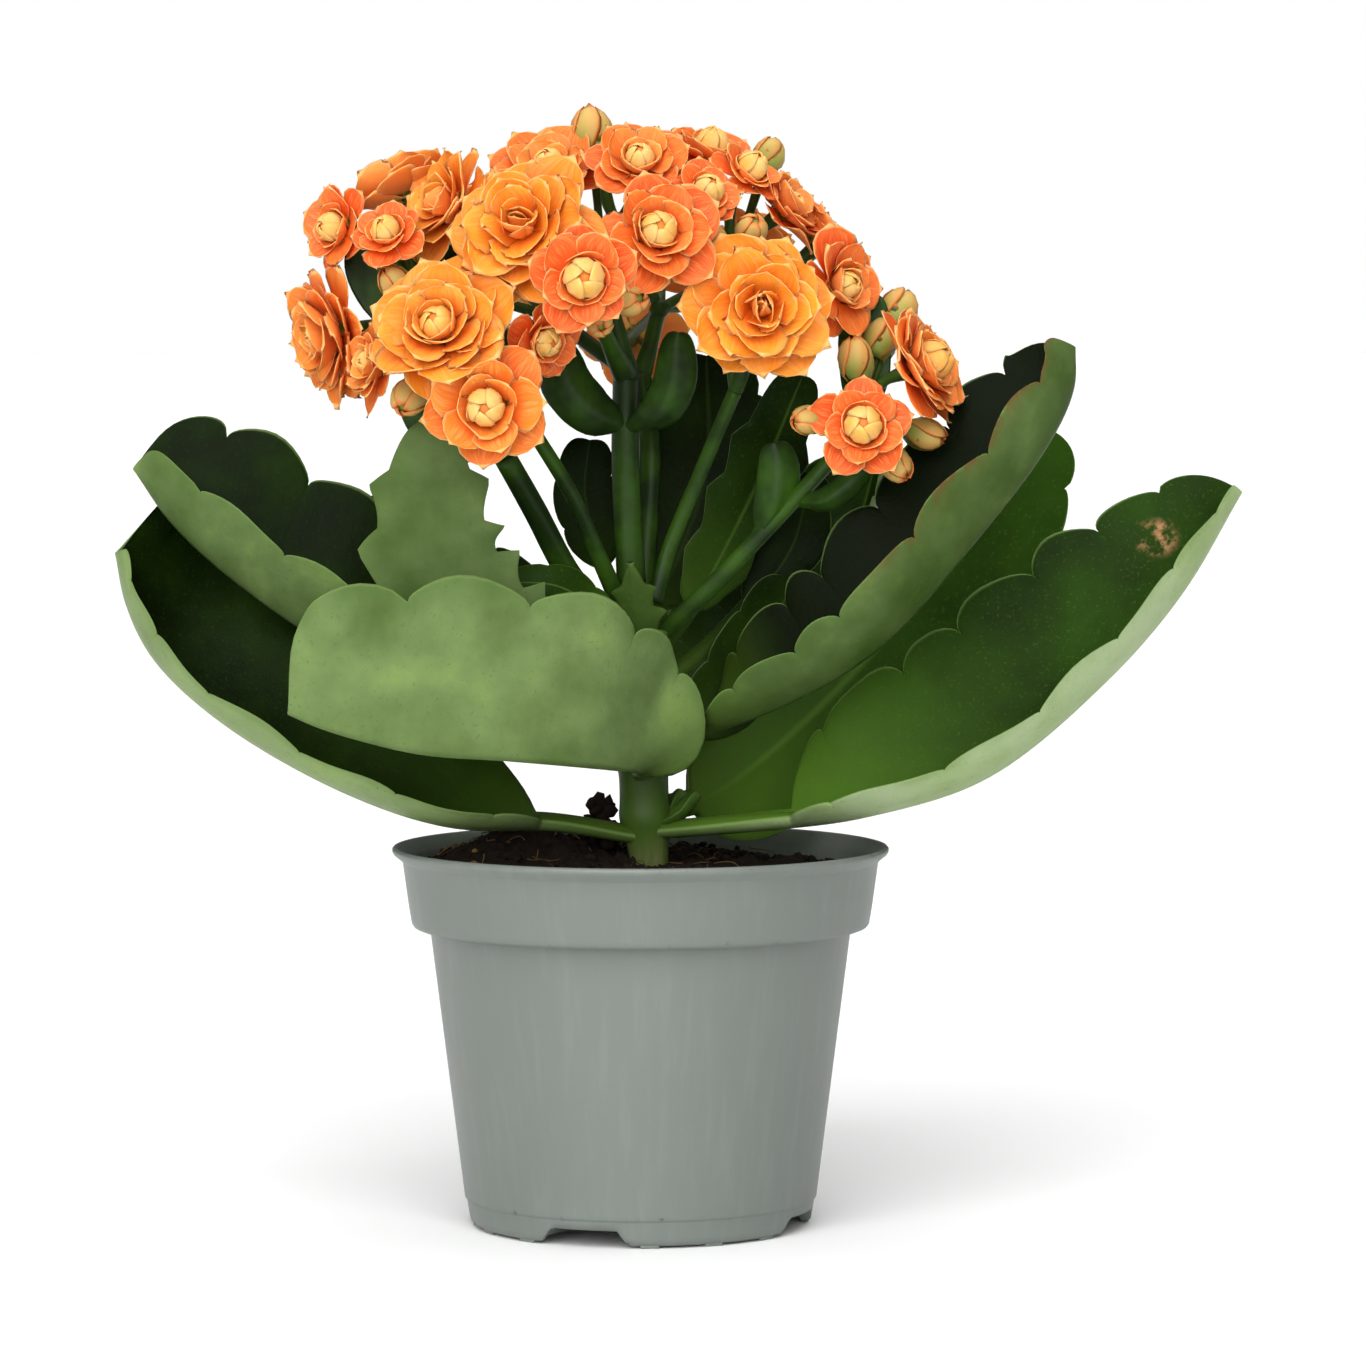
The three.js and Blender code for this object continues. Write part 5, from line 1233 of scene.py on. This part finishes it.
class KALANCHOE_OT_sprays(bpy.types.Operator):
    """Grow the flower stalks with their forks, bracts, buds and the thin stalk of each bloom"""
    bl_idname = "kalanchoe.sprays"
    bl_label = "Flower stalks"

    def execute(self, context):
        finish = stalk_finish(context.scene.kalanchoe_leaves)
        for number, row in enumerate(SPRAYS):
            draw = random.Random(SPRAY_SEED + number)
            skin = Skin()
            tube(skin, row.stalk, row.radii, STALK_AROUND, 40, DARK, ridges=STALK_RIDGES)
            end = Vector(row.stalk[-1])
            for blade in row.bracts:
                grow_leaf(skin, blade, *BRACT_STEPS, BRACT_MARKS)
            for at, blooms, buds in row.forks:
                fork = Vector(at)
                branch = [end, end.lerp(fork, 0.5) + SAG, fork]
                tube(skin, branch, (row.radii[-1], *FORK_RADII), 12, 16, DARK, ridges=STALK_RIDGES)
                skin.lump(fork, FORK_LUMP, Matrix.Identity(3), 2, 0.25, DARK)
                for index in blooms:
                    grow_pedicel(skin, fork, BLOOMS[index - 1])
                for *spot, size in buds:
                    grow_bud(skin, fork, Vector(spot), size, draw)
            skin.piece(row.name, "stalks", finish)
        return {"FINISHED"}


# The stage

FLOOR_SIZE = 40.0
SENSOR_WIDTH = 36
EYE_X, EYE_Z = 0.009, 0.19
AIM = (EYE_X, 0, 0.115)
PLANT_MIDDLE = (0, 0, 0.12)
LIGHTS = (
    ("key", "SUN", (-0.12, -1.0, 0.76), 64, 3.8),
    ("sky", "SUN", (0.0, 0.1, 1.0), 70, 1.7),
    ("softbox", "AREA", (-0.45, -0.85, 0.3), 0.4, 1.2),
)


def set_down(name, data, place=(0, 0, 0), aim=None):
    """Adds an object to the scene, turned towards a point where one is given."""
    thing = bpy.data.objects.new(name, data)
    thing.location = place
    if aim:
        thing.rotation_euler = (Vector(aim) - Vector(place)).to_track_quat("-Z", "Y").to_euler()
    bpy.context.scene.collection.objects.link(thing)
    return thing


def white_room(strength):
    """A world that lights the plant faintly from all round and is white behind it."""
    world = bpy.data.worlds.new("white room")
    world.use_nodes = True
    tree = world.node_tree
    room = tree.nodes["Background"]
    room.inputs["Strength"].default_value = strength
    wall = tree.nodes.new("ShaderNodeBackground")
    seen = tree.nodes.new("ShaderNodeLightPath").outputs["Is Camera Ray"]
    either = tree.nodes.new("ShaderNodeMixShader")
    for node in (room, wall):
        node.inputs["Color"].default_value = (1, 1, 1, 1)
    for start, end in ((seen, either.inputs["Fac"]), (room.outputs[0], either.inputs[1]),
                       (wall.outputs[0], either.inputs[2]),
                       (either.outputs[0], tree.nodes["World Output"].inputs["Surface"])):
        tree.links.new(start, end)
    return world


class KALANCHOE_OT_stage(bpy.types.Operator):
    """Set the plain floor, the soft lights and the camera"""
    bl_idname = "kalanchoe.stage"
    bl_label = "Stage"

    def execute(self, context):
        look = context.scene.kalanchoe_stage
        scene = context.scene
        bm = bmesh.new()
        bmesh.ops.create_grid(bm, x_segments=1, y_segments=1, size=FLOOR_SIZE)
        mesh = bpy.data.meshes.new("floor")
        bm.to_mesh(mesh)
        bm.free()
        mesh.materials.append(Nodes("plain pale floor").surface(Base_Color=look.floor, Roughness=0.7))
        set_down("floor", mesh)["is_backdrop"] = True
        for name, kind, place, size, power in LIGHTS:
            lamp = bpy.data.lights.new(name, kind)
            lamp.energy = power
            if kind == "SUN":
                lamp.angle = size * DEG
            else:
                lamp.size = size
            set_down(name, lamp, place, PLANT_MIDDLE)
        scene.world = white_room(look.room)
        scene.view_settings.view_transform = "Standard"
        lens = bpy.data.cameras.new("camera")
        lens.lens = look.lens
        lens.sensor_width = SENSOR_WIDTH
        lens.clip_start = 0.05
        scene.camera = set_down("camera", lens, (EYE_X, -look.distance, EYE_Z), AIM)
        return {"FINISHED"}


class KALANCHOE_PT_panel(bpy.types.Panel):
    """Lists the steps that build the plant and its settings"""
    bl_label = "Potted kalanchoe"
    bl_idname = "KALANCHOE_PT_panel"
    bl_space_type = "VIEW_3D"
    bl_region_type = "UI"
    bl_category = "Kalanchoe"

    def draw(self, context):
        for step, settings in STEPS:
            box = self.layout.box()
            box.operator(step.bl_idname)
            if settings:
                group = getattr(context.scene, settings)
                for name in group.bl_rna.properties.keys():
                    if name not in ("rna_type", "name"):
                        box.prop(group, name)


STEPS = (
    (KALANCHOE_OT_pot, "kalanchoe_pot"),
    (KALANCHOE_OT_soil, "kalanchoe_soil"),
    (KALANCHOE_OT_stem, None),
    (KALANCHOE_OT_leaves, "kalanchoe_leaves"),
    (KALANCHOE_OT_sprays, None),
    (KALANCHOE_OT_blooms, "kalanchoe_blooms"),
    (KALANCHOE_OT_stage, "kalanchoe_stage"),
)
SETTINGS = {
    "kalanchoe_pot": KalanchoePotSettings,
    "kalanchoe_soil": KalanchoeSoilSettings,
    "kalanchoe_leaves": KalanchoeLeafSettings,
    "kalanchoe_blooms": KalanchoeBloomSettings,
    "kalanchoe_stage": KalanchoeStageSettings,
}


def register():
    for name, group in SETTINGS.items():
        bpy.utils.register_class(group)
        setattr(bpy.types.Scene, name, PointerProperty(type=group))
    for step, _ in STEPS:
        bpy.utils.register_class(step)
    bpy.utils.register_class(KALANCHOE_PT_panel)


def unregister():
    bpy.utils.unregister_class(KALANCHOE_PT_panel)
    for step, _ in reversed(STEPS):
        bpy.utils.unregister_class(step)
    for name, group in reversed(SETTINGS.items()):
        delattr(bpy.types.Scene, name)
        bpy.utils.unregister_class(group)


def main():
    register()
    bpy.ops.kalanchoe.pot()
    bpy.ops.kalanchoe.soil()
    bpy.ops.kalanchoe.stem()
    bpy.ops.kalanchoe.leaves()
    bpy.ops.kalanchoe.sprays()
    bpy.ops.kalanchoe.blooms()
    bpy.ops.kalanchoe.stage()
    low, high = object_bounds()


if __name__ == "__main__":
    main()
